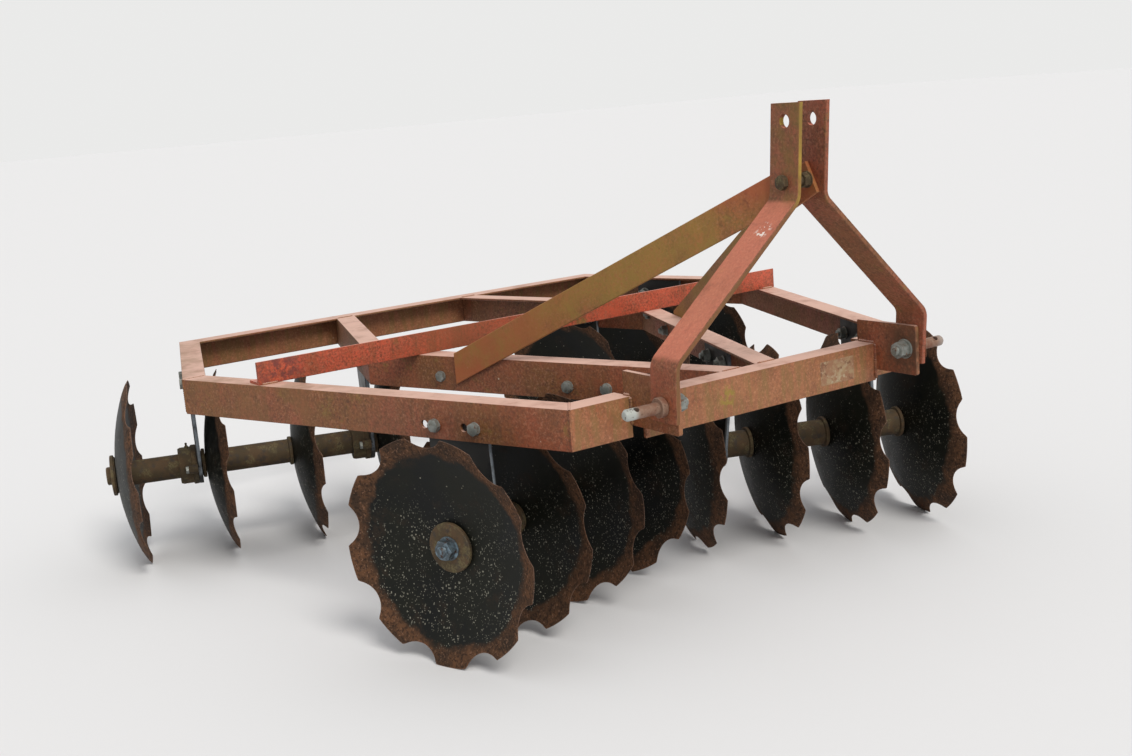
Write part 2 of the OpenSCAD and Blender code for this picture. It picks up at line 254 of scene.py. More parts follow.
def hexagon(across_flats, high):
    half = across_flats / 2
    rings = [[], [], []]
    for i in range(ROUND_STEPS):
        turn = 2 * math.pi * i / ROUND_STEPS
        off = (turn + math.pi / 6) % (math.pi / 3) - math.pi / 6
        reach = half / math.cos(off)
        lower = (reach - half * CHAMFER_FROM) * math.tan(math.radians(30))
        way = Vector((math.cos(turn), math.sin(turn), 0))
        rings[0].append(way * reach)
        rings[1].append(way * reach + Vector((0, 0, high - lower)))
        rings[2].append(way * half * CHAMFER_FROM + Vector((0, 0, high)))
    return rings[0] + rings[1] + rings[2], tube_faces(3, ROUND_STEPS)


def thread(radius, high):
    """Turned rod whose ridges stand for a screw thread."""
    outline = [(radius - 1.0, 0.0)]
    level = 0.4
    while level < high - PITCH:
        outline += [(radius, level + PITCH * 0.25), (radius - 0.9, level + PITCH * 0.75)]
        level += PITCH
    outline += [(radius - 0.4, high - PITCH * 0.6), (radius - 1.6, high)]
    return lathe(outline, 32)


print("points in a nut:", len(hexagon(24, 13)[0]))

# %% [markdown]
# Weld beads are what holds this frame together, so they get modelled: a thin tube along each
# joint, with the small even ripples that a stick electrode leaves. The same seed each time gives
# the same beads, and the same turns of the bolts later on.

# %% Weld beads
BEAD_STEP, RIPPLE = 1.6, 5.0


def bead(path, radius):
    """Rippled tube along straight stretches between points in millimetres."""
    centres = []
    for a, b in zip(path, path[1:]):
        a, b = Vector(a), Vector(b)
        count = max(3, int((b - a).length / BEAD_STEP))
        centres += [a.lerp(b, i / count) for i in range(count + (b == Vector(path[-1])))]
    points = []
    travelled = 0.0
    for i, spot in enumerate(centres):
        way = (centres[min(i + 1, len(centres) - 1)] - centres[max(i - 1, 0)]).normalized()
        side = way.cross(Vector((0.31, 0.54, 0.78))).normalized()
        other = way.cross(side)
        travelled += BEAD_STEP
        wave = 0.16 * math.sin(2 * math.pi * travelled / RIPPLE)
        swell = radius * (1 + wave + random.uniform(-0.07, 0.07))
        swell *= 0.45 if i in (0, len(centres) - 1) else 1.0
        for j in range(8):
            turn = math.pi * j / 4
            points.append(spot + (side * math.cos(turn) + other * math.sin(turn)) * swell)
    return points, tube_faces(len(centres), 8)


random.seed(7)
print("ripples in 100 mm of bead:", round(100 / RIPPLE))

# %% [markdown]
# Materials are layers, as in life: steel, paint, then what weather did to it. They could be
# pictures wrapped round the part, but nodes need no unwrapping and keep every pattern at its
# real size in millimetres. One function adds a shader node with its settings and links, one
# turns sRGB hex colours to linear, and one begins a finish with its plainest layer.

# %% Nodes, colours and the first layer


def add(tree, kind, settings=None, inputs=None):
    """A node with its settings, its values and the sockets that feed it."""
    node = tree.nodes.new(kind)
    for key, value in (settings or {}).items():
        setattr(node, key, value)
    for key, value in (inputs or {}).items():
        if isinstance(value, bpy.types.NodeSocket):
            tree.links.new(value, node.inputs[key])
        else:
            node.inputs[key].default_value = value
    return node


def colour(code):
    """Linear colour from an sRGB hex value."""
    parts = [int(code[i : i + 2], 16) / 255 for i in (1, 3, 5)]
    return [c / 12.92 if c <= 0.04045 else ((c + 0.055) / 1.055) ** 2.4 for c in parts] + [1.0]


def start(name, base, rough, metallic=0.0):
    """A finish begins as a plain colour and roughness, and layers follow."""
    material = bpy.data.materials.new(name)
    material.use_nodes = True
    material.diffuse_color = colour(base)
    tree = material.node_tree
    tree.nodes.clear()
    where = add(tree, "ShaderNodeTexCoord").outputs["Object"]
    skin = {"material": material, "tree": tree, "where": where, "metallic": metallic}
    skin["colour"] = add(tree, "ShaderNodeRGB").outputs[0]
    skin["colour"].default_value = colour(base)
    skin["rough"] = add(tree, "ShaderNodeValue").outputs[0]
    skin["rough"].default_value = rough
    return skin


print("linear value of mid grey:", round(colour("#808080")[0], 3))

# %% [markdown]
# A mask says where a layer lies: all of it at 1, none at 0. Patches, streaks and grains follow
# noise or cells, whose scale is 1000 over their size in millimetres. Other masks follow the part
# itself: faces that look up, rubbed edges, one end, or the surroundings of a point. Two masks
# multiplied keep the wear where weather and work would put it.

# %% Masks of patches, streaks, grains, faces and edges


def spots(skin, size_mm, level, soft=0.05, detail=5.0, stretch=(1, 1, 1)):
    """Mask of patches about size_mm across where cloudy noise rises above level."""
    tree = skin["tree"]
    shape = add(tree, "ShaderNodeVectorMath", {"operation": "MULTIPLY"}, {0: skin["where"], 1: stretch})
    noise = add(tree, "ShaderNodeTexNoise", None, {
        "Vector": shape.outputs[0], "Scale": 1000 / size_mm, "Detail": detail, "Roughness": 0.62})
    rise = add(tree, "ShaderNodeMapRange", {"interpolation_type": "SMOOTHSTEP"}, {
        "Value": noise.outputs[0], "From Min": level - soft, "From Max": level + soft})
    return rise.outputs[0]


def runs(skin, width_mm, level, soft=0.1):
    """Mask of upright streaks about width_mm wide, as rain water leaves them."""
    return spots(skin, width_mm, level, soft, 5.0, (1.0, 1.0, 0.12))


def near(skin, point_mm, radius_mm):
    """Mask of a small area around one point of the machine."""
    tree = skin["tree"]
    away = add(tree, "ShaderNodeVectorMath", {"operation": "DISTANCE"}, {
        0: skin["where"], 1: [c * MM for c in point_mm]})
    rise = add(tree, "ShaderNodeMapRange", {"interpolation_type": "SMOOTHSTEP"}, {
        "Value": away.outputs["Value"], "From Min": radius_mm * MM, "From Max": radius_mm * 0.4 * MM})
    return rise.outputs[0]


def grains(skin, gap_mm, size, core=0.6, stretch=(1, 1, 1)):
    """Mask of small grains, one about every gap_mm, each size of a cell wide and full in its core."""
    tree = skin["tree"]
    shape = add(tree, "ShaderNodeVectorMath", {"operation": "MULTIPLY"}, {0: skin["where"], 1: stretch})
    cells = add(tree, "ShaderNodeTexVoronoi", None, {"Vector": shape.outputs[0], "Scale": 1000 / gap_mm})
    rise = add(tree, "ShaderNodeMapRange", None, {
        "Value": cells.outputs["Distance"], "From Min": size, "From Max": size * core})
    return rise.outputs[0]


def looking(skin, way, low=0.5, high=0.95):
    """Mask of faces that look one way, such as up, where dust and sun lie."""
    tree = skin["tree"]
    normal = add(tree, "ShaderNodeNewGeometry").outputs["Normal"]
    same = add(tree, "ShaderNodeVectorMath", {"operation": "DOT_PRODUCT"}, {0: normal, 1: way})
    rise = add(tree, "ShaderNodeMapRange", None, {
        "Value": same.outputs["Value"], "From Min": low, "From Max": high})
    return rise.outputs[0]


def beside(skin, way, low, high):
    """Mask that rises along a direction, from low to high in metres."""
    tree = skin["tree"]
    along = add(tree, "ShaderNodeVectorMath", {"operation": "DOT_PRODUCT"}, {0: skin["where"], 1: way})
    rise = add(tree, "ShaderNodeMapRange", {"interpolation_type": "SMOOTHSTEP"}, {
        "Value": along.outputs["Value"], "From Min": low, "From Max": high})
    return rise.outputs[0]


def edges(skin, width_mm=3.0, low=0.02, high=0.22):
    """Mask of rubbed edges, found where a rounded normal leaves the true one."""
    tree = skin["tree"]
    rounded = add(tree, "ShaderNodeBevel", {"samples": 4}, {"Radius": width_mm * MM})
    normal = add(tree, "ShaderNodeNewGeometry").outputs["Normal"]
    same = add(tree, "ShaderNodeVectorMath", {"operation": "DOT_PRODUCT"}, {
        0: rounded.outputs[0], 1: normal})
    rise = add(tree, "ShaderNodeMapRange", None, {
        "Value": same.outputs["Value"], "From Min": 1 - low, "From Max": 1 - high})
    return rise.outputs[0]


def both(skin, one, other, share=1.0):
    """Mask where two masks meet, at a share of full strength."""
    tree = skin["tree"]
    product = add(tree, "ShaderNodeMath", {"operation": "MULTIPLY"}, {0: one, 1: other})
    shared = add(tree, "ShaderNodeMath", {"operation": "MULTIPLY"}, {0: product.outputs[0], 1: share})
    return shared.outputs[0]


print("noise scale for patches 26 mm wide:", round(1000 / 26, 1))

# %% [markdown]
# A coat is a colour and a roughness laid over what is there, where its mask is 1. Most coats are
# patches of a cloud, kept within a second mask. The last step joins the layers in one shader, and
# a bump gives it the grit of the real surface, no deeper than paint, rust or a casting has it.

# %% Coats and the finished shader


def coat(skin, code, rough, mask):
    """Lay a colour and its roughness over the finish where the mask is 1."""
    tree = skin["tree"]
    tint = add(tree, "ShaderNodeMix", {"data_type": "RGBA"}, {0: mask, 6: skin["colour"], 7: colour(code)})
    matt = add(tree, "ShaderNodeMix", {"data_type": "FLOAT"}, {0: mask, 2: skin["rough"], 3: rough})
    skin["colour"], skin["rough"] = tint.outputs[2], matt.outputs[0]


def patches(skin, code, rough, cloud, within=None, share=1.0):
    """Lay a coat in the patches of a cloud, within a second cloud or a mask at some share."""
    mask = spots(skin, *cloud)
    if within is not None:
        inside = spots(skin, *within) if isinstance(within, tuple) else within
        mask = both(skin, mask, inside, share)
    coat(skin, code, rough, mask)


def finished(skin, grit_mm, depth_mm, ior=1.5):
    """Join the layers in one shader, with a bump of a real grit and depth."""
    tree = skin["tree"]
    grit = add(tree, "ShaderNodeTexNoise", None, {
        "Vector": skin["where"], "Scale": 1000 / grit_mm, "Detail": 4.0, "Roughness": 0.6})
    bump = add(tree, "ShaderNodeBump", None, {
        "Strength": 0.7, "Distance": depth_mm * MM, "Height": grit.outputs[0]})
    shader = add(tree, "ShaderNodeBsdfPrincipled", None, {
        "Base Color": skin["colour"], "Roughness": skin["rough"], "Metallic": skin["metallic"],
        "IOR": ior, "Normal": bump.outputs[0]})
    add(tree, "ShaderNodeOutputMaterial", None, {"Surface": shader.outputs[0]})
    print("finish:", skin["material"].name, "with", len(tree.nodes), "nodes")
    return skin["material"]


print("depth of a bump of 0.06 mm, in metres:", round(0.06 * MM, 6))

# %% [markdown]
# The frame is hot-rolled steel under an old red-oxide alkyd enamel, brushed or sprayed on. Years
# outdoors leave it matt and chalky, pinkish with dust on the level flanges, olive-brown where
# algae and thin rust lie over the red, and darker along the edges. One function lays those
# layers, because the frame, the mast, the cross angle and the braces differ only in how red and
# how overgrown they are. Enamel has an IOR of about 1.5 and, when chalked, a roughness near 0.6.

# %% Alkyd enamel on rolled steel


def enamel(name, paint, olive, olive_level, scuff, dust, lichen_level=0.66):
    skin = start(name, paint, 0.5)
    patches(skin, scuff, 0.55, (150, 0.5, 0.16, 4.0), (25, 0.5, 0.2), 0.6)
    patches(skin, olive, 0.62, (240, olive_level, 0.13, 7.0), (10, 0.33, 0.25), 0.9)
    patches(skin, "#6a4a26", 0.66, (110, 0.46, 0.14), runs(skin, 26, 0.52), 0.5)
    patches(skin, "#55331f", 0.7, (4.5, 0.5, 0.16), (50, 0.45, 0.2), 0.5)
    patches(skin, "#aa7459", 0.6, (7, 0.58, 0.08), (80, 0.5, 0.16), 0.5)
    patches(skin, "#472b1e", 0.8, (11, 0.61, 0.06, 6.0), (150, 0.5, 0.1), 0.75)
    patches(skin, "#4a2f20", 0.75, (6, 0.53, 0.08, 7.0), (70, 0.4, 0.2), 0.55)
    patches(skin, "#b98363", 0.6, (5, 0.58, 0.06, 7.0), (60, 0.42, 0.2), 0.32)
    patches(skin, "#7c6f33", 0.9, (70, lichen_level, 0.08, 9.0), (5, 0.42, 0.14), 0.7)
    patches(skin, "#c9c2ae", 0.85, (160, 0.55, 0.06), grains(skin, 46, 0.05), 0.8)
    patches(skin, "#4f2f1f", 0.75, (30, 0.44, 0.18), edges(skin, 4.0), 0.85)
    patches(skin, dust, 0.75, (60, 0.3, 0.25), looking(skin, (0, 0, 1)), 0.82)
    return skin


frame_skin = enamel("oxide_enamel_chalked", "#8d482c", "#724c20", 0.49, "#9b5336", "#dbb5a6")
front_face = looking(frame_skin, (0, -1, 0), 0.8, 0.95)
patches(frame_skin, "#ad7450", 0.62, (55, 0.38, 0.2, 7.0), front_face, 0.55)
patches(frame_skin, "#7a4c31", 0.65, (6, 0.52, 0.1, 7.0), front_face, 0.5)
coat(frame_skin, "#786034", 0.7, both(frame_skin, front_face, runs(frame_skin, 16, 0.53, 0.08), 0.55))
patches(frame_skin, "#c08a68", 0.6, (5, 0.58, 0.06, 7.0), front_face, 0.25)
patches(frame_skin, "#6d5227", 0.65, (90, 0.5, 0.14, 7.0), beside(frame_skin, (-1, 0, 0), 0.5, 0.75), 0.5)
patches(frame_skin, "#8f8233", 0.9, (12, 0.5, 0.06, 7.0), near(frame_skin, (-104, -700, 455), 30), 0.6)
patches(frame_skin, "#49321f", 0.85, (14, 0.42, 0.15), near(frame_skin, (300, -783, 488), 75), 0.85)
frame_enamel = finished(frame_skin, 1.1, 0.06)
cross_skin = enamel("oxide_enamel_bright", "#cd5639", "#8c5331", 0.64, "#d66d52", "#e3a090")
off_end = beside(cross_skin, (1, 0, 0), -0.5, -0.2)
off_middle = beside(cross_skin, (-1, 0, 0), 0.0, 0.25)
coat(cross_skin, "#7a5132", 0.65, both(cross_skin, off_end, off_middle, 0.6))
patches(cross_skin, "#5e3434", 0.6, (16, 0.46, 0.1, 7.0), near(cross_skin, (-700, 62, 520), 75), 0.8)
cross_enamel = finished(cross_skin, 1.1, 0.06)

# %% [markdown]
# The mast and the braces stand in the wet longest. Yellow lichen has settled on the edge of the
# right-hand upright that faces forward, above its bend, and a brown-green film lies along the
# braces. The brace is redder at both ends. A few flakes of paint are gone at the upper bend, down
# to a white primer.

# %% Lichen on the mast and the braces
mast_skin = enamel("oxide_enamel_mast", "#96492f", "#7d522a", 0.52, "#aa5a40", "#ec8d74")
front_edge = both(mast_skin, looking(mast_skin, (0, -1, 0), 0.8, 0.9), spots(mast_skin, 60, 0.35, 0.2))
right_bar = beside(mast_skin, (-1, 0, 0), 0.0, 0.02)
coat(mast_skin, "#6f4f2b", 0.75, both(mast_skin, front_edge, right_bar, 0.8))
above_bend = both(mast_skin, beside(mast_skin, (0, 0, 1), 0.81, 0.85), right_bar)
coat(mast_skin, "#ab8c38", 0.85, both(mast_skin, front_edge, above_bend, 0.9))
patches(mast_skin, "#76602c", 0.8, (70, 0.52, 0.12, 7.0), above_bend, 0.6)
patches(mast_skin, "#ebe6df", 0.7, (11, 0.56, 0.02), near(mast_skin, (-96, -816, 788), 24))
mast_enamel = finished(mast_skin, 1.1, 0.06)
brace_skin = enamel("oxide_enamel_overgrown", "#a0532f", "#94692f", 0.46, "#ad643c", "#c0905c", 0.61)
patches(brace_skin, "#937637", 0.85, (180, 0.47, 0.14, 8.0), (6, 0.36, 0.2), 0.75)
for way, low, high in (((-1, 0, 0), 0.17, 0.29), ((0, 0, 1), 0.79, 0.86)):
    patches(brace_skin, "#a04f2d", 0.65, (60, 0.42, 0.2, 6.0), beside(brace_skin, way, low, high), 0.75)
brace_enamel = finished(brace_skin, 1.1, 0.08)

# %% [markdown]
# The discs are pressed from hardened steel and dipped in black enamel. Soil polishes the rim, and
# then the bare rim rusts: a brown band about 40 mm wide, rough at its border. The band follows a
# value kept in each point, its distance from the axle. Short pale flecks, chips and dried soil,
# lie all over the black: they are grains stretched in one direction or another. The notches'
# edges are rubbed to a thin bright line. Old enamel under fine dust mirrors less than fresh
# enamel does, so its IOR is 1.28 here and not 1.5.

# %% Black disc enamel with a rusty rim
FLECKS = [(8, 0.17, (1.0, 1.0, 0.45)), (7, 0.15, (0.5, 1.0, 1.0)), (9, 0.16, (1.0, 0.5, 0.8)),
          (5.5, 0.15, (1.0, 1.0, 1.0)), (6.5, 0.15, (0.8, 1.0, 0.6))]
FLECK_CORE, BORDER_MM, BORDER_SHIFT = 0.7, 90, 0.3


def disc_finish():
    skin = start("disc_enamel_black", "#090b0a", 0.48)
    tree = skin["tree"]
    patches(skin, "#14150e", 0.55, (130, 0.48, 0.14, 4.0))
    patches(skin, "#2b221a", 0.7, (60, 0.6, 0.08, 7.0), (9, 0.45, 0.1), 0.7)
    reach = add(tree, "ShaderNodeAttribute", {"attribute_name": "reach"}).outputs["Fac"]
    ragged = add(tree, "ShaderNodeTexNoise", None, {
        "Vector": skin["where"], "Scale": 1000 / BORDER_MM, "Detail": 9.0, "Roughness": 0.65})
    shift = add(tree, "ShaderNodeMath", {"operation": "MULTIPLY_ADD"}, {
        0: ragged.outputs[0], 1: BORDER_SHIFT, 2: -BORDER_SHIFT / 2})
    border = add(tree, "ShaderNodeMath", {"operation": "ADD"}, {0: reach, 1: shift.outputs[0]})
    band = add(tree, "ShaderNodeMapRange", {"interpolation_type": "SMOOTHSTEP"}, {
        "Value": border.outputs[0], "From Min": 0.8, "From Max": 0.88}).outputs[0]
    low_half = beside(skin, (0, 0, -1), -0.37, -0.2)
    for gap, size, stretch in FLECKS:
        fleck = both(skin, grains(skin, gap, size, FLECK_CORE, stretch), spots(skin, 50, 0.44, 0.08))
        coat(skin, "#8f8d80", 0.8, both(skin, fleck, low_half, 0.8))
    big_flecks = grains(skin, 12, 0.11, FLECK_CORE, (1.0, 0.6, 0.7))
    patches(skin, "#9a9787", 0.8, (70, 0.48, 0.1), big_flecks, 0.7)
    coat(skin, "#4a3425", 0.8, band)
    patches(skin, "#63442f", 0.85, (26, 0.5, 0.1, 8.0), band, 0.75)
    patches(skin, "#2f241c", 0.7, (50, 0.55, 0.07, 6.0), band, 0.7)
    patches(skin, "#281d16", 0.8, (6, 0.54, 0.05, 7.0), band, 0.75)
    patches(skin, "#83624e", 0.8, (5, 0.6, 0.04, 7.0), band, 0.6)
    patches(skin, "#8b6f60", 0.45, (20, 0.4, 0.15), edges(skin, 2.4, 0.03, 0.3), 0.7)
    return finished(skin, 1.4, 0.1, 1.28)


disc_enamel = disc_finish()

# %% [markdown]
# The small steel parts each have their own skin. Hangers are satin black enamel with dust, and
# their cut edges that face forward are bare steel with a painted bluish-grey sheen. Shafts, spools
# and housings are cast or forged iron with an even old rust. Pins are machined steel that
# weathered brown-grey and is still bright where the linkage rubs. Bolts and nuts are zinc plated,
# dulled to grey with rust in their corners, and the hub nuts are blued steel with a painted
# highlight in lighter bluish patches.

# %% Black hangers, rusty iron, pins, zinc and blued nuts


def small_finishes():
    hanger = start("satin_black_enamel", "#17181a", 0.42)
    patches(hanger, "#23221f", 0.6, (70, 0.5, 0.14))
    # Cut edges that face forward: bare steel, with a painted bluish-grey sheen laid on them.
    cut_edge_and_sheen = both(hanger, looking(hanger, (0, -1, 0), 0.85, 0.92), spots(hanger, 40, 0.4, 0.15))
    patches(hanger, "#7b838b", 0.4, (6, 0.3, 0.2), cut_edge_and_sheen, 0.85)
    patches(hanger, "#3d2b20", 0.8, (18, 0.5, 0.12), edges(hanger), 0.8)
    patches(hanger, "#79736a", 0.9, (30, 0.45, 0.15), looking(hanger, (0, 0, 1)), 0.7)

    iron = start("cast_iron_rusted", "#433621", 0.82)
    patches(iron, "#523e28", 0.86, (38, 0.5, 0.12))
    patches(iron, "#362b1f", 0.7, (17, 0.57, 0.07, 7.0))
    patches(iron, "#6d6444", 0.9, (26, 0.56, 0.06), (4, 0.48, 0.1), 0.6)
    patches(iron, "#7e6a50", 0.6, (12, 0.48, 0.15), edges(iron, 2.0), 0.6)

    pin = start("machined_steel_weathered", "#8a6f5e", 0.55, 0.3)
    patches(pin, "#7a5240", 0.75, (30, 0.5, 0.14, 5.0))
    coat(pin, "#aeb2ad", 0.4, beside(pin, (-1, 0, 0), 0.385, 0.4))
    coat(pin, "#9c8e86", 0.5, beside(pin, (1, 0, 0), 0.39, 0.41))
    patches(pin, "#4d3528", 0.8, (8, 0.64, 0.05, 7.0))

    zinc = start("zinc_plate_dulled", "#8d908c", 0.42, 0.55)
    patches(zinc, "#767973", 0.5, (14, 0.5, 0.14))
    patches(zinc, "#6a4a34", 0.8, (9, 0.63, 0.05, 6.0))

    blued = start("blued_steel_nut_and_highlight", "#4a5257", 0.38, 0.6)
    # Lighter bluish, shinier patches: a painted highlight on the blued steel.
    patches(blued, "#6f8390", 0.34, (16, 0.52, 0.1))
    patches(blued, "#4b3325", 0.85, (12, 0.6, 0.06, 7.0))
    return [finished(hanger, 1.0, 0.05), finished(iron, 1.6, 0.16), finished(pin, 0.9, 0.03),
            finished(zinc, 1.0, 0.015), finished(blued, 0.9, 0.02)]


hanger_black, rusty_iron, pin_steel, zinc_plate, blued_steel_and_highlight = small_finishes()

# %% [markdown]
# Angle iron isn't a sharp L. The rolls leave a fillet of about 7 mm inside the corner and round
# the toes on their inner side. That profile is drawn once and run along each member, and the ends
# are cut by the lines where members meet, so mitres close as they do on the real frame.

# %% Rolled angle iron
HEEL, WORN = 1.4, 0.6


def arc(centre, radius, first, last, steps=5):
    turns = [math.radians(first + (last - first) * i / steps) for i in range(steps + 1)]
    return [(centre[0] + radius * math.cos(t), centre[1] + radius * math.sin(t)) for t in turns]


def angle_profile(flange, leg, thick, toe=3.6, root=7.0):
    """Outline of an angle: inward distance and height below the top face."""
    outline = arc((HEEL, -HEEL), HEEL, 180, 90, 3)
    outline += [(flange - WORN, 0.0), (flange, -WORN)]
    outline += arc((flange - toe, toe - thick), toe, 0, -90)
    outline += arc((thick + root, -thick - root), root, 90, 180)
    outline += arc((thick - toe, toe - leg), toe, 0, -90)
    outline += [(WORN, -leg), (0.0, WORN - leg)]
    return outline


def run(profile, a, b, inward, cut_a, cut_b):
    """Profile run along the line from a to b, with its ends cut along two lines in plan."""
    way = (b - a).normalized()
    points = []
    for end, cut in ((a, cut_a), (b, cut_b)):
        for inside, high in profile:
            spot = meet(a + inward * inside, way, end, cut)
            points.append(Vector((spot.x, spot.y, TOP + high)))
    return points, tube_faces(2, len(profile))


full = angle_profile(FLANGE, LEG, THICK)
leg_only = [(0.0, -THICK), (THICK, -THICK)] + [p for p in full if p[1] < -THICK - 1 and p[0] <= THICK]
mitre_front = in_front + DEPTH
mitre_knee = in_front + in_rear
mitre_tail = in_rear - DEPTH
print("points in the angle's outline:", len(full))

# %% [markdown]
# Each outer member is drilled twice for its hanger's bolts, and two spare holes beside them turn
# the gang to another angle. The spare holes show daylight, so they are really cut. The bolts'
# own holes are covered by heads and nuts, and aren't.

# %% Outer members and corner pieces
BOLT_DROP, HOLE_RADIUS, DRILL_LONG = 52.0, 8.5, 60.0
BOLT_HALF, SPARE_STEP, OUTER_SHIFT, INNER_SHIFT = 50.0, 28.0, -34.0, 31.0


def on_leg(start_point, along, s, drop=BOLT_DROP):
    """Place on the outer face of a member's leg, and the way that the face looks."""
    spot = start_point + along * s
    side = quarter_turn(along)
    return (spot.x, spot.y, TOP - drop), (side.x, side.y, 0)


def bolt_places(axle_at, shift=0.0):
    """Distances along a member of a hanger's two bolts, for a plate shifted to one side."""
    return axle_at - shift - BOLT_HALF, axle_at - shift + BOLT_HALF


def spare_holes(start_point, along, bolts):
    places = [facing(*on_leg(start_point, along, s + SPARE_STEP)) for s in bolts]
    return [(place, HOLE_RADIUS, DRILL_LONG) for place in places]


front_bolts = bolt_places(FRONT_AXLE_AT, OUTER_SHIFT)
rear_bolts = bolt_places(REAR_AXLE_AT)
outer_front = run(full, corner, knee, in_front, mitre_front, mitre_knee)
outer_rear = run(full, knee, tail, in_rear, mitre_knee, mitre_tail)
corner_piece = run(full, corner, Vector((-plate_out, corner_y)), DEPTH, mitre_front, DEPTH)
pair("outer_front_angle_right.", outer_front, frame_enamel,
     holes=spare_holes(corner, along_front, front_bolts))
pair("outer_rear_angle_right.", outer_rear, frame_enamel,
     holes=spare_holes(knee, along_rear, rear_bolts))
pair("front_corner_right.", corner_piece, frame_enamel)

# %% [markdown]
# The inner members slip under the beams: their level flange stops at the beam's flange, and only
# the upright leg runs on below it. Each is the full profile plus a short length of leg alone.

# %% Inner members and beams


def coped(a, b, inward, cut_a, cut_b, under, clear):
    """An inner member whose leg reaches from clear to under, below a beam's flange."""
    tongue_ends = (under, clear) if clear == a else (clear, under)
    tongue = run(leg_only, *tongue_ends, inward, ACROSS, ACROSS)
    return join([run(full, a, b, inward, cut_a, cut_b), tongue])


def at_depth(point, along, y):
    return meet(point, along, Vector((0.0, y)), ACROSS)


front_clear = at_depth(inner_front, along_front, beam_y + FLANGE)
front_under = at_depth(inner_front, along_front, beam_y + THICK)
rear_clear = at_depth(inner_rear, along_rear, rear_y - FLANGE)
rear_under = at_depth(inner_rear, along_rear, rear_y - THICK)
inner_front_part = coped(front_clear, knot, in_front, ACROSS, mitre_knee, front_under, front_clear)
inner_rear_part = coped(knot, rear_clear, in_rear, mitre_knee, ACROSS, rear_under, rear_clear)
pair("inner_front_angle_right.", inner_front_part, frame_enamel)
pair("inner_rear_angle_right.", inner_rear_part, frame_enamel)

beam_ends = Vector((-BEAM_HALF, beam_y)), Vector((BEAM_HALF, beam_y))
piece("front_beam.", run(full, *beam_ends, DEPTH, DEPTH, DEPTH), frame_enamel)
far_tail = Vector((-tail.x, tail.y))
far_mitre = Vector((-mitre_tail.x, mitre_tail.y))
rear_beam = run(full, tail, far_tail, -DEPTH, mitre_tail, far_mitre)
piece("rear_beam.", rear_beam, frame_enamel)

# %% [markdown]
# The cross angle lies over the members with its corner at the front and one leg standing. It is
# the same kind of profile, turned over: the level leg is below and the upright leg rises from it.

# %% Cross angle over the frame
CROSS_BACK, CROSS_LEG, CROSS_THICK = 790.0, 51.0, 6.0
cross_y = beam_y + CROSS_BACK
cross_end = at_depth(corner, along_front, cross_y)
cross_outline = angle_profile(CROSS_LEG, CROSS_LEG, CROSS_THICK, 3.0, 6.0)
cross_profile = [(x, -z) for x, z in cross_outline][::-1]
cross_ends = Vector((cross_end.x, cross_y)), Vector((-cross_end.x, cross_y))
piece("cross_angle.", run(cross_profile, *cross_ends, DEPTH, DEPTH, DEPTH), cross_enamel)
print("cross angle, mm:", round(-2 * cross_end.x, 1))

# %% [markdown]
# The mast bars and braces are flat bar bent in a press: each bend has a radius, and the bar keeps
# its thickness round it. A bar is a path of places with two directions each, one through its
# thickness and one across its width, so the same function makes an upright bar and a brace.

# %% Bent flat bars
MAST_THICK, MAST_FOOT, LOWER_BEND, UPPER_BEND, CLEVIS_HALF = 10.0, 33.0, 79.5, 343.5, 29.0
LINK_HOLE, PIN_HOLE, BAR_EDGE = 12.8, 11.6, 1.2
MAST_BEND, MAST_STEPS = 30.0, 9
leg_x, upright_x = -plate_out - MAST_THICK / 2, -CLEVIS_HALF - MAST_THICK / 2


def rounded(path, radius, steps):
    """Path in a plane whose corners are replaced by arcs."""
    soft = [path[0]]
    for before, bend, after in zip(path, path[1:], path[2:]):
        back, on = (before - bend).normalized(), (after - bend).normalized()
        half = back.angle(on) / 2
        trim = radius / math.tan(half)
        centre = bend + (back + on).normalized() * (radius / math.sin(half))
        first, last = bend + back * trim - centre, bend + on * trim - centre
        soft += [centre + first.lerp(last, i / steps).normalized() * radius for i in range(steps + 1)]
    return soft + [path[-1]]


def flat_bar(places, thick):
    """Bar through places, each a centre, a unit side and a half width as vectors."""
    points = []
    half, flank = thick / 2, thick / 2 - BAR_EDGE
    for centre, side, wide in places:
        trim = 1 - BAR_EDGE / wide.length
        for s, w in ((half, -trim), (half, trim), (flank, 1), (-flank, 1),
                     (-half, trim), (-half, -trim), (-flank, -1), (flank, -1)):
            points.append(centre + side * s + wide * w)
    return points, tube_faces(len(places), 8)


def side_of(path, i):
    """Unit normal of a flat path at one of its points."""
    way = (path[min(i + 1, len(path) - 1)] - path[max(i - 1, 0)]).normalized()
    return quarter_turn(way)


def mast_y(z):
    return pin_y - (z - pin_z) * lean


def mast_bar():
    corners = [Vector((leg_x, TOP - MAST_FOOT)), Vector((leg_x, pin_z + LOWER_BEND)),
               Vector((upright_x, pin_z + UPPER_BEND)), Vector((upright_x, pin_z + MAST_HIGH + MAST_END))]
    path = rounded(corners, MAST_BEND, MAST_STEPS)
    places = []
    for i, spot in enumerate(path):
        side = side_of(path, i)
        centre = Vector((spot.x, mast_y(spot.y), spot.y))
        places.append((centre, Vector((side.x, 0, side.y)), Vector((0, BAR_WIDE / 2, 0))))
    return flat_bar(places, MAST_THICK)


hole_z = pin_z + MAST_HIGH
mast_holes = [(facing((upright_x, mast_y(hole_z), hole_z), ACROSS.to_3d()), LINK_HOLE, 40.0),
              (facing((leg_x, pin_y, pin_z), ACROSS.to_3d()), PIN_HOLE, 40.0)]
pair("mast_bar_right", mast_bar(), mast_enamel,
     stands_for=["mast_leg_right", "mast_upright_right"], holes=mast_holes)

# %% [markdown]
# Each brace lies flat on the inside of an upright, bends outward and ends flat on the inner
# member. Seen from the side it slopes straight down, so each place of the path takes its height
# from its distance along the machine. Its upper end is sheared square to that slope.

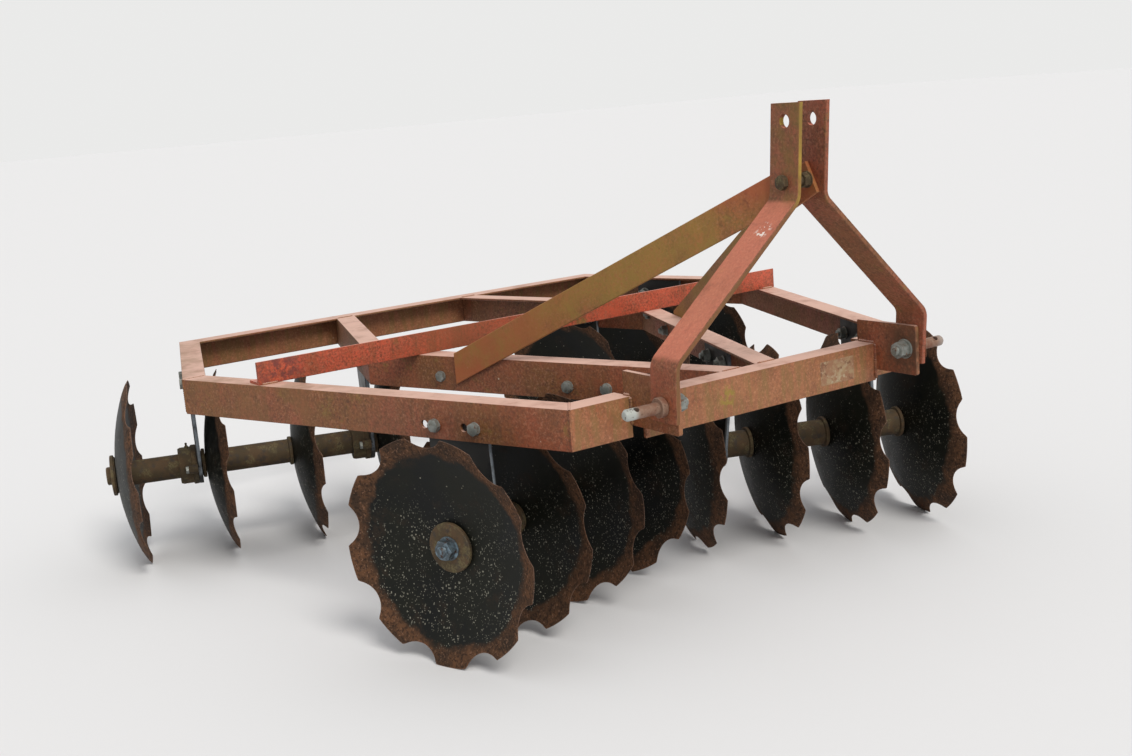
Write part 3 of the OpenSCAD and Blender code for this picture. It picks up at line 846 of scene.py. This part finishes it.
# %% Braces
BRACE_TOP, BRACE_LOW, BRACE_HALF, BRACE_THICK = 376.0, 27.0, 32.0, 8.0
BRACE_HEEL_AT, BRACE_FOOT_AT, BRACE_PAST = 487.0, 737.0, 10.0
BEND_BELOW, BEND_CLEAR, BRACE_BEND, BRACE_STEPS = 64.0, 3.0, 24.0, 8
brace_x = BRACE_THICK / 2 - CLEVIS_HALF
brace_top_z = pin_z + BRACE_TOP
brace_top_y = mast_y(brace_top_z)
foot = inner_front + along_front * BRACE_FOOT_AT
heel = inner_front + along_front * BRACE_HEEL_AT
rise = (brace_top_z - (TOP - BRACE_LOW)) / (foot.y - brace_top_y)


def brace_bar():
    out = quarter_turn(along_front) * BRACE_THICK / 2
    upper_end = Vector((brace_x, brace_top_y - BRACE_PAST))
    bend = Vector((brace_x, mast_y(brace_top_z - BEND_BELOW) + BAR_WIDE / 2 + BEND_CLEAR))
    path = rounded([upper_end, bend, heel + out, foot + out], BRACE_BEND, BRACE_STEPS)
    places = []
    for i, spot in enumerate(path):
        side = side_of(path, i)
        centre = Vector((spot.x, spot.y, TOP - BRACE_LOW + (foot.y - spot.y) * rise))
        half = Vector((0, 0, BRACE_HALF * math.hypot(1, rise)))
        if i == 0:
            half = Vector((0, rise, 1)).normalized() * BRACE_HALF
        places.append((centre, Vector((side.x, side.y, 0)), half))
    return flat_bar(places, BRACE_THICK)


pair("brace_right.", brace_bar(), brace_enamel)
print("brace slope, degrees:", round(math.degrees(math.atan(rise)), 1))

# %% [markdown]
# The pin plates are cut from 10 mm plate with slightly burnt, rounded corners. The lower hitch
# pins are turned: a threaded end with a nut inside the plate, a collar as a shoulder outside, and
# a tapered tip with the cross hole for a linchpin. A plate is four rings of one outline, which
# softens its edges at once, where a bevel modifier would take a step of its own.

# %% Pin plates and lower hitch pins
PLATE_LONG, PLATE_HIGH, PLATE_AHEAD, PLATE_BELOW = 163.0, 104.0, 113.0, 57.0
LINCHPIN_AT, LINCHPIN_RADIUS = 392.5, 5.6


def plate(outline, thick, soft=1.0):
    """Plate from an outline in its own XY plane, with softened edges, from Z 0 to thick."""
    middle = sum(outline, Vector((0.0, 0.0))) / len(outline)
    inner = [p + (middle - p).normalized() * soft for p in outline]
    rings = [(inner, 0.0), (outline, soft), (outline, thick - soft), (inner, thick)]
    points = [Vector((p.x, p.y, z)) for ring, z in rings for p in ring]
    return points, tube_faces(4, len(outline))


def card(wide, high, radius):
    """Outline of a rectangle with each corner cut by an arc."""
    outline = [Vector(p) for p in ((0.0, 0.0), (wide, 0.0), (wide, high), (0.0, high))]
    result = []
    for before, bend, after in zip(outline[-1:] + outline, outline, outline[1:] + outline[:1]):
        result += rounded([before, bend, after], radius, 4)[1:-1]
    return result


def pin_place(x, outward=False):
    """Place on the lower pin's line at a distance from the middle of the machine."""
    return facing((-x, pin_y, pin_z), (-1 if outward else 1, 0, 0))


stand = Matrix(((0, 0, -1, -BEAM_HALF), (1, 0, 0, beam_y - PLATE_AHEAD),
                (0, 1, 0, TOP - PLATE_BELOW), (0, 0, 0, 1)))
points, faces = moved(plate(card(PLATE_LONG, PLATE_HIGH, 5.0), PLATE_THICK), stand)
pair("pin_plate_right.", (points, [f[::-1] for f in faces]), frame_enamel,
     holes=[(pin_place(BEAM_HALF + PLATE_THICK / 2), PIN_HOLE, 30.0)])

pin_outline = [(9.5, 300), (11.1, 301), (11.1, 327.6), (17.6, 328.2), (19, 329.4), (19, 340.1),
               (17.8, 341.5), (11.1, 341.5), (11.1, 411.5), (7.6, 416.3), (6.5, 416.5)]
linchpin_hole = facing((-LINCHPIN_AT, pin_y, pin_z), (0, -0.5736, 0.8192))
pair("hitch_pin_right.", moved(lathe(pin_outline), pin_place(0, outward=True)), pin_steel,
     holes=[(linchpin_hole, LINCHPIN_RADIUS, 60.0)])

pair("pin_nut_right", join([
    moved(thread(9.4, 28), pin_place(BEAM_HALF - 6)),
    moved(hexagon(30.3, 22), pin_place(BEAM_HALF - 4)),
    moved(lathe([(20, 0), (20.5, 0.5), (20.5, 3.5), (19.8, 4)]), pin_place(BEAM_HALF)),
]), zinc_plate)

# %% [markdown]
# A disc is a shallow bowl cut from a sphere, with nine round notches that leave broad teeth. The
# mesh is polar: rings from the hub to the rim, each ring stretched so that the last one follows
# the notched outline. The rim is ground to a thin edge on its outer side, and the middle is flat
# and thicker where the spools clamp it.

# %% One notched disc
RIM, DISH, SHEET, RIM_EDGE = 228.5, 52.0, 4.0, 1.2
BALL = (RIM * RIM + DISH * DISH) / (2 * DISH)
HUB_HOLE, HUB_FLAT, HUB_THICK = 20, 46, 6.0
NOTCH, NOTCH_DEPTH, NOTCH_STEP = 56.0, 23.0, 2 * math.pi / 9
NOTCH_AT = RIM - NOTCH_DEPTH + NOTCH
DISC_STEPS, DISC_RINGS, EDGE_FROM = 360, 12, 0.945


def rim_reach(turn):
    """Distance from the axle to the notched rim in one direction."""
    off = (turn + NOTCH_STEP / 2) % NOTCH_STEP - NOTCH_STEP / 2
    inside = NOTCH * NOTCH - (NOTCH_AT * math.sin(off)) ** 2
    if inside < 0:
        return RIM
    return min(RIM, NOTCH_AT * math.cos(off) - math.sqrt(inside))


def bowl(radius):
    return BALL - math.sqrt(BALL * BALL - radius * radius)


def disc_part(turn_deg):
    """One disc with its flat centre on the XY plane and its hollow toward +Z."""
    steps = DISC_STEPS
    shares = [i / DISC_RINGS for i in range(DISC_RINGS)] + [EDGE_FROM, 1.0]
    outside, inside = [], []
    for share in shares:
        for i in range(steps):
            turn = 2 * math.pi * i / steps
            reach = HUB_HOLE + (rim_reach(turn - math.radians(turn_deg)) - HUB_HOLE) * share
            way = Vector((math.cos(turn), math.sin(turn), 0))
            thick = SHEET if share < 1.0 else RIM_EDGE
            low = bowl(reach) + (SHEET - thick)
            top = max(bowl(reach) + SHEET, HUB_THICK if reach < HUB_FLAT else 0.0)
            outside.append(way * reach + Vector((0, 0, low if share > 0 else 0.0)))
            inside.append(way * reach + Vector((0, 0, top)))
    count = len(shares)
    faces = []
    for r in range(count - 1):
        for i in range(steps):
            j = (i + 1) % steps
            a, b, c, d = r * steps + i, r * steps + j, (r + 1) * steps + j, (r + 1) * steps + i
            faces.append([d, c, b, a])
            faces.append([a + count * steps, b + count * steps, c + count * steps, d + count * steps])
    last, hub = (count - 1) * steps, count * steps
    for i in range(steps):
        j = (i + 1) % steps
        faces.append([last + i, hub + last + i, hub + last + j, last + j])
        faces.append([i, j, hub + j, hub + i])
    return outside + inside, faces


half_notch = math.acos((RIM**2 + NOTCH_AT**2 - NOTCH**2) / (2 * RIM * NOTCH_AT))
print("width of a notch at the rim, mm:", round(2 * RIM * math.sin(half_notch), 1))

# %% [markdown]
# Four discs sit on each axle. The front gangs throw soil outward and the rear gangs bring it
# back, so their hollows face opposite ways. Each disc is clamped at its own turn. Each point
# keeps its distance from the axle, which the finish uses to place the rust.

# %% Discs on their axles
AXLE, FRONT_STEP, INNER_DISC, HANGER_THICK, DISC_GAP = RIM, 190.5, 81.0, 10.0, 10.0
TURNS = [22, 15, 29, 5]
front_out = Vector((-in_front.x, -in_front.y, 0))
rear_out = Vector((-in_rear.x, -in_rear.y, 0))


def on_axle(spot, out, offset, flip=False):
    """Place on a gang's axle, with Z pointing outward, or inward when flipped."""
    z = -out if flip else out
    x = Vector((0, 0, -1.0))
    y = z.cross(x)
    turn = Matrix((x, y, z)).transposed().to_4x4()
    return Matrix.Translation(Vector((spot.x, spot.y, AXLE)) + out * offset) @ turn


front_last = (INNER_DISC + front_spot.x) / in_front.x
front_discs = [front_last + i * FRONT_STEP for i in (3, 2, 1, 0)]
rear_discs = [i * rear_gap / 2 - THICK - HANGER_THICK - DISC_GAP for i in (1, 0, -1, -2)]
GANGS = {
    "front": (front_spot, front_out, front_discs, False),
    "rear": (rear_spot, rear_out, rear_discs, True),
}

for gang, (spot, out, offsets, flip) in GANGS.items():
    parts, reaches = [], []
    for offset, turn in zip(offsets, TURNS):
        disc = disc_part(-turn if flip else turn)
        reaches += [math.hypot(p[0], p[1]) / RIM for p in disc[0]]
        parts.append(moved(disc, on_axle(spot, out, offset, flip)))
    for discs in pair(f"discs_{gang}_right.", join(parts), disc_enamel, f"gang_{gang}_right"):
        kept = discs.data.attributes.new("reach", "FLOAT", "POINT")
        kept.data.foreach_set("value", reaches)
    print(gang, "discs at, mm:", [round(o, 1) for o in offsets])

# %% [markdown]
# Each gang is clamped on a square shaft: spools keep the discs apart, and big dished washers with
# a nut at one end and a forged head at the other pull the stack tight. The nut and the thread end
# are blued steel with a painted highlight in lighter bluish patches, and the washers are as rusty
# as the spools. All of them are turned shapes, even the shaft: it is swung in four steps and then
# stands on its flat.

# %% Shafts, washers, nuts and spools
SHAFT_RADIUS = 17.6
WASHER = [(45, 0), (45.5, 2), (49, 2.6), (50, 3.6), (50, 9.4), (48.6, 11), (24, 11.4)]
SPOOL_END = [(34.5, 0), (36, 1.2), (36, 7.6), (33.5, 9), (30, 9.6)]


def end_stack(nut):
    """Washer and head at a gang's end, growing along +Z: iron parts, then steel parts."""
    washer = lathe(WASHER, 64)
    if not nut:
        return [washer, raised(hexagon(40, 12), 11)], []
    collar = raised(lathe([(23, 0), (24, 0.8), (24, 3), (23, 3.6)]), 10.8)
    return [washer], [collar, raised(hexagon(36.4, 17), 14), raised(thread(11, 12.5), 28.3)]


def spool(low, high):
    upper = [(r, high - low - z) for r, z in SPOOL_END[::-1]]
    return raised(lathe(SPOOL_END + upper), low)


for gang, (spot, out, offsets, flip) in GANGS.items():
    body = f"gang_{gang}_right"
    axle = on_axle(spot, out, 0)
    before, after = (0, HUB_THICK) if flip else (HUB_THICK, 0)
    first, last = offsets[0] + before, offsets[3] - after
    bar = lathe([(SHAFT_RADIUS, last + 1), (SHAFT_RADIUS, first - 1)], 4)
    iron, steel = [moved(bar, axle @ Matrix.Rotation(math.pi / 4, 4, "Z"))], []
    for nut, place in ((not flip, on_axle(spot, out, first)), (flip, on_axle(spot, out, last, True))):
        rusty, blued = end_stack(nut)
        iron += [moved(part, place) for part in rusty]
        steel += [moved(part, place) for part in blued]
    spools = [spool(offsets[i + 1] + before, offsets[i] - after) for i in range(3)]
    pair(f"shaft_{gang}_right.", join(iron), rusty_iron, body)
    pair(f"hub_nut_{gang}_right", join(steel), blued_steel_and_highlight, body)
    pair(f"spools_{gang}_right.", moved(join(spools), axle), rusty_iron, body)

# %% [markdown]
# Hangers are plates bolted inside the members, and each carries a cast bearing housing. The
# housings get a raised rim, two bolt bosses with bolt heads, and a grease nipple on top. A real
# casting is one lump with fillets. Here a closed ring swung about the bore, with the bosses set
# on it, is enough, because the discs nearly hide it. Each gang has two seats: how far one lies
# inside the outer member, and how far the plate's square end is shifted along the members to
# clear its neighbours.

# %% Hangers, housings and their bolts
HANGER_HALF, HANGER_SQUARE, HANGER_BELOW_TOP, HANGER_END, HANGER_BORE = 75, 85, 12, 49, 42.0
HOUSING_LONG, BOSS_AT, BOSS_HIGH = 44, 52, 22
HOUSING = [(47, 0), (49, 1.5), (49, 12), (45.5, 14), (45.5, 38), (43, 44), (33, 44), (31, 42),
           (31, 2), (33, 0)]
NIPPLE = [(5, 0), (5, 4), (2.6, 5), (2.6, 9), (3.4, 10.5), (1.6, 12.5)]
SEATS = {"front": ((0, OUTER_SHIFT), (front_gap, INNER_SHIFT)), "rear": ((0, 0), (rear_gap, 0))}


def hanger(shift):
    top = TOP - AXLE - HANGER_BELOW_TOP
    low, left, right = HANGER_SQUARE - top, shift - HANGER_HALF, shift + HANGER_HALF
    turns = [math.radians(-6 + 192 * i / 24) for i in range(25)]
    round_end = [Vector((HANGER_END * math.sin(t), HANGER_END * math.cos(t))) for t in turns]
    edge = [Vector((-top, left)), Vector((-top, right)), Vector((low, right))]
    return plate((edge + round_end + [Vector((low, left))])[::-1], HANGER_THICK, 0.8)


def housing():
    shell = lathe(HOUSING, 64)[0], tube_faces(len(HOUSING), 64, closed=True)
    bosses = [raised(lathe([(11, 0), (11, 20), (9.5, BOSS_HIGH)], 24), 0, y) for y in (-BOSS_AT, BOSS_AT)]
    nipple = moved(lathe(NIPPLE, 16), facing((-44.5, 0, HOUSING_LONG / 2), (-1, 0, 0)))
    return join([shell, *bosses, nipple])


def boss_bolts():
    return join([raised(hexagon(17, 7), BOSS_HIGH, y) for y in (-BOSS_AT, BOSS_AT)])


for gang, (spot, out, offsets, flip) in GANGS.items():
    plates, shells, heads, drills = [], [], [], []
    for inside, shift in SEATS[gang]:
        z = -inside - THICK - HANGER_THICK
        plates.append(moved(hanger(shift), on_axle(spot, out, z)))
        drills.append((on_axle(spot, out, z + HANGER_THICK / 2), HANGER_BORE, 30.0))
        place = on_axle(spot, out, z + HANGER_THICK) if flip else on_axle(spot, out, z, True)
        shells.append(moved(housing(), place))
        heads.append(moved(boss_bolts(), place))
    pair(f"hangers_{gang}_right.", join(plates), hanger_black, holes=drills)
    pair(f"bearings_{gang}_right.", join(shells), rusty_iron)
    pair(f"bearing_bolts_{gang}_right", join(heads), zinc_plate)

# %% [markdown]
# Each hanger hangs on two bolts through the member's leg, heads outside and nuts inside. Bolts
# of 16 mm have heads 24 mm across and 10 mm high. One function joins head, collar, washer, nut
# and thread end for any grip and size. Every bolt is turned by a different amount, because
# nobody lines them up.

# %% Bolts through the frame


def bolt(spot, way, grip, size=24.0):
    """Head on one side of a stack of plates and a nut with its thread end on the other."""
    way = Vector(way).normalized()
    turn = Matrix.Rotation(random.uniform(0, math.pi), 4, "Z")
    head = moved(hexagon(size, size * 0.42), facing(spot, way) @ turn)
    collar = moved(lathe([(size * 0.52, 0), (size * 0.56, 0.8), (size * 0.52, 1.6)], 32), facing(spot, way))
    back = facing(Vector(spot) - way * grip, -way)
    ring = [(size * 0.62, 0), (size * 0.64, 0.5), (size * 0.64, 2), (size * 0.6, 2.5)]
    washer = moved(lathe(ring, 32), back)
    nut = moved(hexagon(size, size * 0.54), back @ Matrix.Translation((0, 0, 2.5)) @ turn)
    end = moved(thread(size / 3, 8), back @ Matrix.Translation((0, 0, size * 0.54 + 1.5)))
    return join([head, collar, washer, nut, end])


inner_front_bolts = bolt_places((front_spot - inner_front).dot(along_front), INNER_SHIFT)
inner_rear_bolts = bolt_places((rear_spot - knot).dot(along_rear))
BOLTED = {
    "outer_front": (corner, along_front, front_bolts),
    "inner_front": (inner_front, along_front, inner_front_bolts),
    "outer_rear": (knee, along_rear, rear_bolts),
    "inner_rear": (knot, along_rear, inner_rear_bolts),
}
for place, (start_point, along, places) in BOLTED.items():
    bolts = [bolt(*on_leg(start_point, along, s), THICK + HANGER_THICK) for s in places]
    pair(f"bolts_{place}_right", join(bolts), zinc_plate)

# %% [markdown]
# The braces are bolted through the uprights, with old rusty bolts, and welded to the inner
# members. The cross angle is bolted down where it crosses those members and welded at its ends.

# %% Bolts of the mast and the cross angle
MEMBER_BOLT_AT, MEMBER_BOLT_DROP = 786.0, 47.0
mast_face = upright_x - MAST_THICK / 2
tie_spot = at_depth(inner_front, along_front, cross_y + 30) + in_front * 28
tie_place = tie_spot.x, tie_spot.y, TOP + CROSS_THICK
member_place = on_leg(inner_front, along_front, MEMBER_BOLT_AT, MEMBER_BOLT_DROP)
brace_bolt = bolt((mast_face, brace_top_y, brace_top_z), (-1, 0, 0), MAST_THICK + BRACE_THICK, 25)
cross_bolt = bolt(tie_place, (0, 0, 1), CROSS_THICK + THICK, 22)
member_bolt = bolt(*member_place, THICK, 22)
pair("brace_bolt_right", brace_bolt, rusty_iron)
pair("cross_bolt_right", cross_bolt, zinc_plate)
pair("member_bolt_right", member_bolt, zinc_plate)

# %% [markdown]
# Weld beads run down the mitres at the knees and corners, round the pin plates, along the coped
# ends and at the cross angle's ends. They were painted with the frame, so they share its enamel.

# %% Weld beads along the joints


def flat(point, z):
    return Vector((point.x, point.y, z))


def mitre_bead(point, inward):
    """Bead up the outer corner of a mitre and across the level flange."""
    outside = point + inward.normalized() * 1.2
    inside = point + inward.normalized() * (FLANGE / math.cos(inward.angle(in_front)) - 3)
    return bead([flat(outside, TOP - LEG + 3), flat(outside, TOP - 1), flat(inside, TOP - 0.8)], 2.6)


def upright_bead(x, y, first_z, last_z, radius):
    return bead([(x, y, first_z), (x, y, last_z)], radius)


def flange_bead(x, first_y, last_y):
    return bead([(x, first_y, TOP + 1), (x, last_y, TOP + 1)], 3.2)


def cross_bead(point, first, last, lift, radius):
    """Bead across the machine from first to last, counted in x and y from a point."""
    return bead([flat(point + Vector(first), TOP + lift), flat(point + Vector(last), TOP + lift)], radius)


plate_in_x, plate_out_x = 1 - BEAM_HALF, -plate_out - 1.5
plate_back = beam_y + PLATE_LONG - PLATE_AHEAD
mast_front = mast_y(TOP) - BAR_WIDE / 2
knot_end = mitre_knee.normalized() * 48
weld_parts = [
    mitre_bead(knee, mitre_knee),
    mitre_bead(corner, mitre_front),
    upright_bead(plate_in_x, beam_y - 1, TOP - LEG + 4, TOP - 2, 3.6),
    flange_bead(plate_in_x, beam_y + 2, plate_back - 6),
    upright_bead(plate_out_x, corner_y - 1, TOP - 55, TOP - 2, 3.6),
    flange_bead(plate_out_x, corner_y + 2, plate_back - 4),
    cross_bead(front_clear, (3, 0), (48, 0), 0, 2.8),
    cross_bead(rear_clear, (3, 0), (48, 0), 0, 2.8),
    cross_bead(knot, (0, 0), knot_end, -0.6, 2.6),
    upright_bead(leg_x - 4, mast_front, TOP + 20, TOP - 20, 0.8),
    cross_bead(cross_end, (8, -1), (44, -1), 1, 3.0),
    cross_bead(cross_end, (6, 52), (40, 52), 1, 3.0),
]
pair("weld_beads_right", join(weld_parts), frame_enamel)

# %% [markdown]
# A patch of the front beam was covered for years, and its paint is paler and cleaner. It is a
# bare rectangle of older enamel with worn edges. A mask in the beam's own enamel could draw it
# too, but a skin 0.3 mm thick on the beam's face keeps its edge crisp from any distance.

# %% Bare patch on the front beam
PATCH_WIDE, PATCH_HIGH, PATCH_THICK, PATCH_X, PATCH_BELOW = 96.0, 50.0, 0.3, 148.0, 65.0
patch_skin = start("enamel_bare_patch", "#99805f", 0.6)
patches(patch_skin, "#8b6348", 0.65, (26, 0.48, 0.1, 7.0))
patches(patch_skin, "#a99a7e", 0.55, (9, 0.54, 0.06), (30, 0.5, 0.1), 0.8)
patches(patch_skin, "#74503a", 0.75, (12, 0.58, 0.04, 8.0))
bare_enamel = finished(patch_skin, 1.2, 0.1)
on_face = Matrix(((1, 0, 0, PATCH_X), (0, 0, -1, beam_y), (0, 1, 0, TOP - PATCH_BELOW), (0, 0, 0, 1)))
bare_patch = moved(plate(card(PATCH_WIDE, PATCH_HIGH, 2.5), PATCH_THICK, 0.1), on_face)
piece("bare_patch", bare_patch, bare_enamel)

# %% [markdown]
# The camera stands where the photograph was taken: about 3 m off the right front corner and 1.07 m
# up, looking 12 degrees down through a lens of 44 mm on a 36 mm wide sensor, a little rolled.

# %% Camera
CAMERA_AT = (-1.82303, -2.73582, 1.06537)
yaw, pitch, roll = (math.radians(a) for a in (56.5476, 11.6465, -4.6103))
forward = Vector((math.cos(yaw) * math.cos(pitch), math.sin(yaw) * math.cos(pitch), -math.sin(pitch)))
level = Vector((math.sin(yaw), -math.cos(yaw), 0))
above = level.cross(forward)
across = level * math.cos(roll) + above * math.sin(roll)
upright = above * math.cos(roll) - level * math.sin(roll)
lens = bpy.data.cameras.new("camera")
lens.lens = 44.13
lens.sensor_width = 36.0
camera = bpy.data.objects.new("camera", lens)
camera_turn = Matrix((across, upright, -forward)).transposed().to_4x4()
camera.matrix_world = Matrix.Translation(CAMERA_AT) @ camera_turn
scene.collection.objects.link(camera)
scene.camera = camera
away = Vector((0, beam_y * MM, TOP * MM)) - Vector(CAMERA_AT)
print("camera to the front beam, m:", round(away.length, 2))

# %% [markdown]
# The stage is a plain pale floor in soft studio light: matt paper, drawn with a coarse fibre of
# 2.5 mm so that it shows at all.

# %% Floor
FLOOR_HALF = 60
paper = bpy.data.materials.new("matt_floor_paper")
paper.use_nodes = True
tree = paper.node_tree
tree.nodes.clear()
where = add(tree, "ShaderNodeTexCoord").outputs["Object"]
fibre = add(tree, "ShaderNodeTexNoise", None, {"Vector": where, "Scale": 400.0, "Detail": 3.0})
bump = add(tree, "ShaderNodeBump", None, {"Strength": 0.1, "Distance": 0.0003, "Height": fibre.outputs[0]})
shader = add(tree, "ShaderNodeBsdfPrincipled", None, {
    "Base Color": colour("#dedfe2"), "Roughness": 0.9, "Normal": bump.outputs[0]})
add(tree, "ShaderNodeOutputMaterial", None, {"Surface": shader.outputs[0]})

floor_mesh = bpy.data.meshes.new("floor")
sheet_corners = [(x * FLOOR_HALF, y * FLOOR_HALF, 0) for x, y in ((-1, -1), (1, -1), (1, 1), (-1, 1))]
floor_mesh.from_pydata(sheet_corners, [], [[0, 1, 2, 3]])
floor = bpy.data.objects.new("floor", floor_mesh)
scene.collection.objects.link(floor)
floor_mesh.materials.append(paper)
print("floor is", 2 * FLOOR_HALF, "m wide")

# %% [markdown]
# A broad key stands in front and above, as a bright overcast sky does in the open, and the rest
# comes from a world that is brighter overhead than at the horizon. What the camera sees past the
# floor has the floor's own shade, so no horizon shows, and rays that a shiny surface mirrors see
# that same shade.

# %% Lamp and world
light = bpy.data.lights.new("key", "SUN")
light.energy = 1.95
light.angle = math.radians(24)
light.color = colour("#fffaf2")[:3]
key = bpy.data.objects.new("key", light)
key.matrix_world = facing((0, 0, 4), (-0.08, -0.75, 0.8))
scene.collection.objects.link(key)

world = bpy.data.worlds.new("pale_world")
scene.world = world
world.use_nodes = True
sky = world.node_tree
sky.nodes.clear()
way = add(sky, "ShaderNodeTexCoord").outputs["Generated"]
high = add(sky, "ShaderNodeSeparateXYZ", None, {0: way}).outputs[2]
lit = add(sky, "ShaderNodeMapRange", None, {
    "Value": high, "From Min": 0.0, "From Max": 1.0, "To Min": 0.41, "To Max": 0.86})
ray = add(sky, "ShaderNodeLightPath").outputs
mirrored = add(sky, "ShaderNodeMath", {"operation": "MAXIMUM"}, {
    0: ray["Is Glossy Ray"], 1: ray["Is Transmission Ray"]})
seen = add(sky, "ShaderNodeMath", {"operation": "MAXIMUM"}, {
    0: ray["Is Camera Ray"], 1: mirrored.outputs[0]})
behind = add(sky, "ShaderNodeMix", {"data_type": "FLOAT"}, {0: seen.outputs[0], 2: lit.outputs[0], 3: 0.84})
shine = add(sky, "ShaderNodeBackground", None, {"Color": colour("#fdfdfc"), "Strength": behind.outputs[0]})
add(sky, "ShaderNodeOutputWorld", None, {"Surface": shine.outputs[0]})
scene.view_settings.view_transform = "Standard"
print("key light, W/m2:", light.energy)
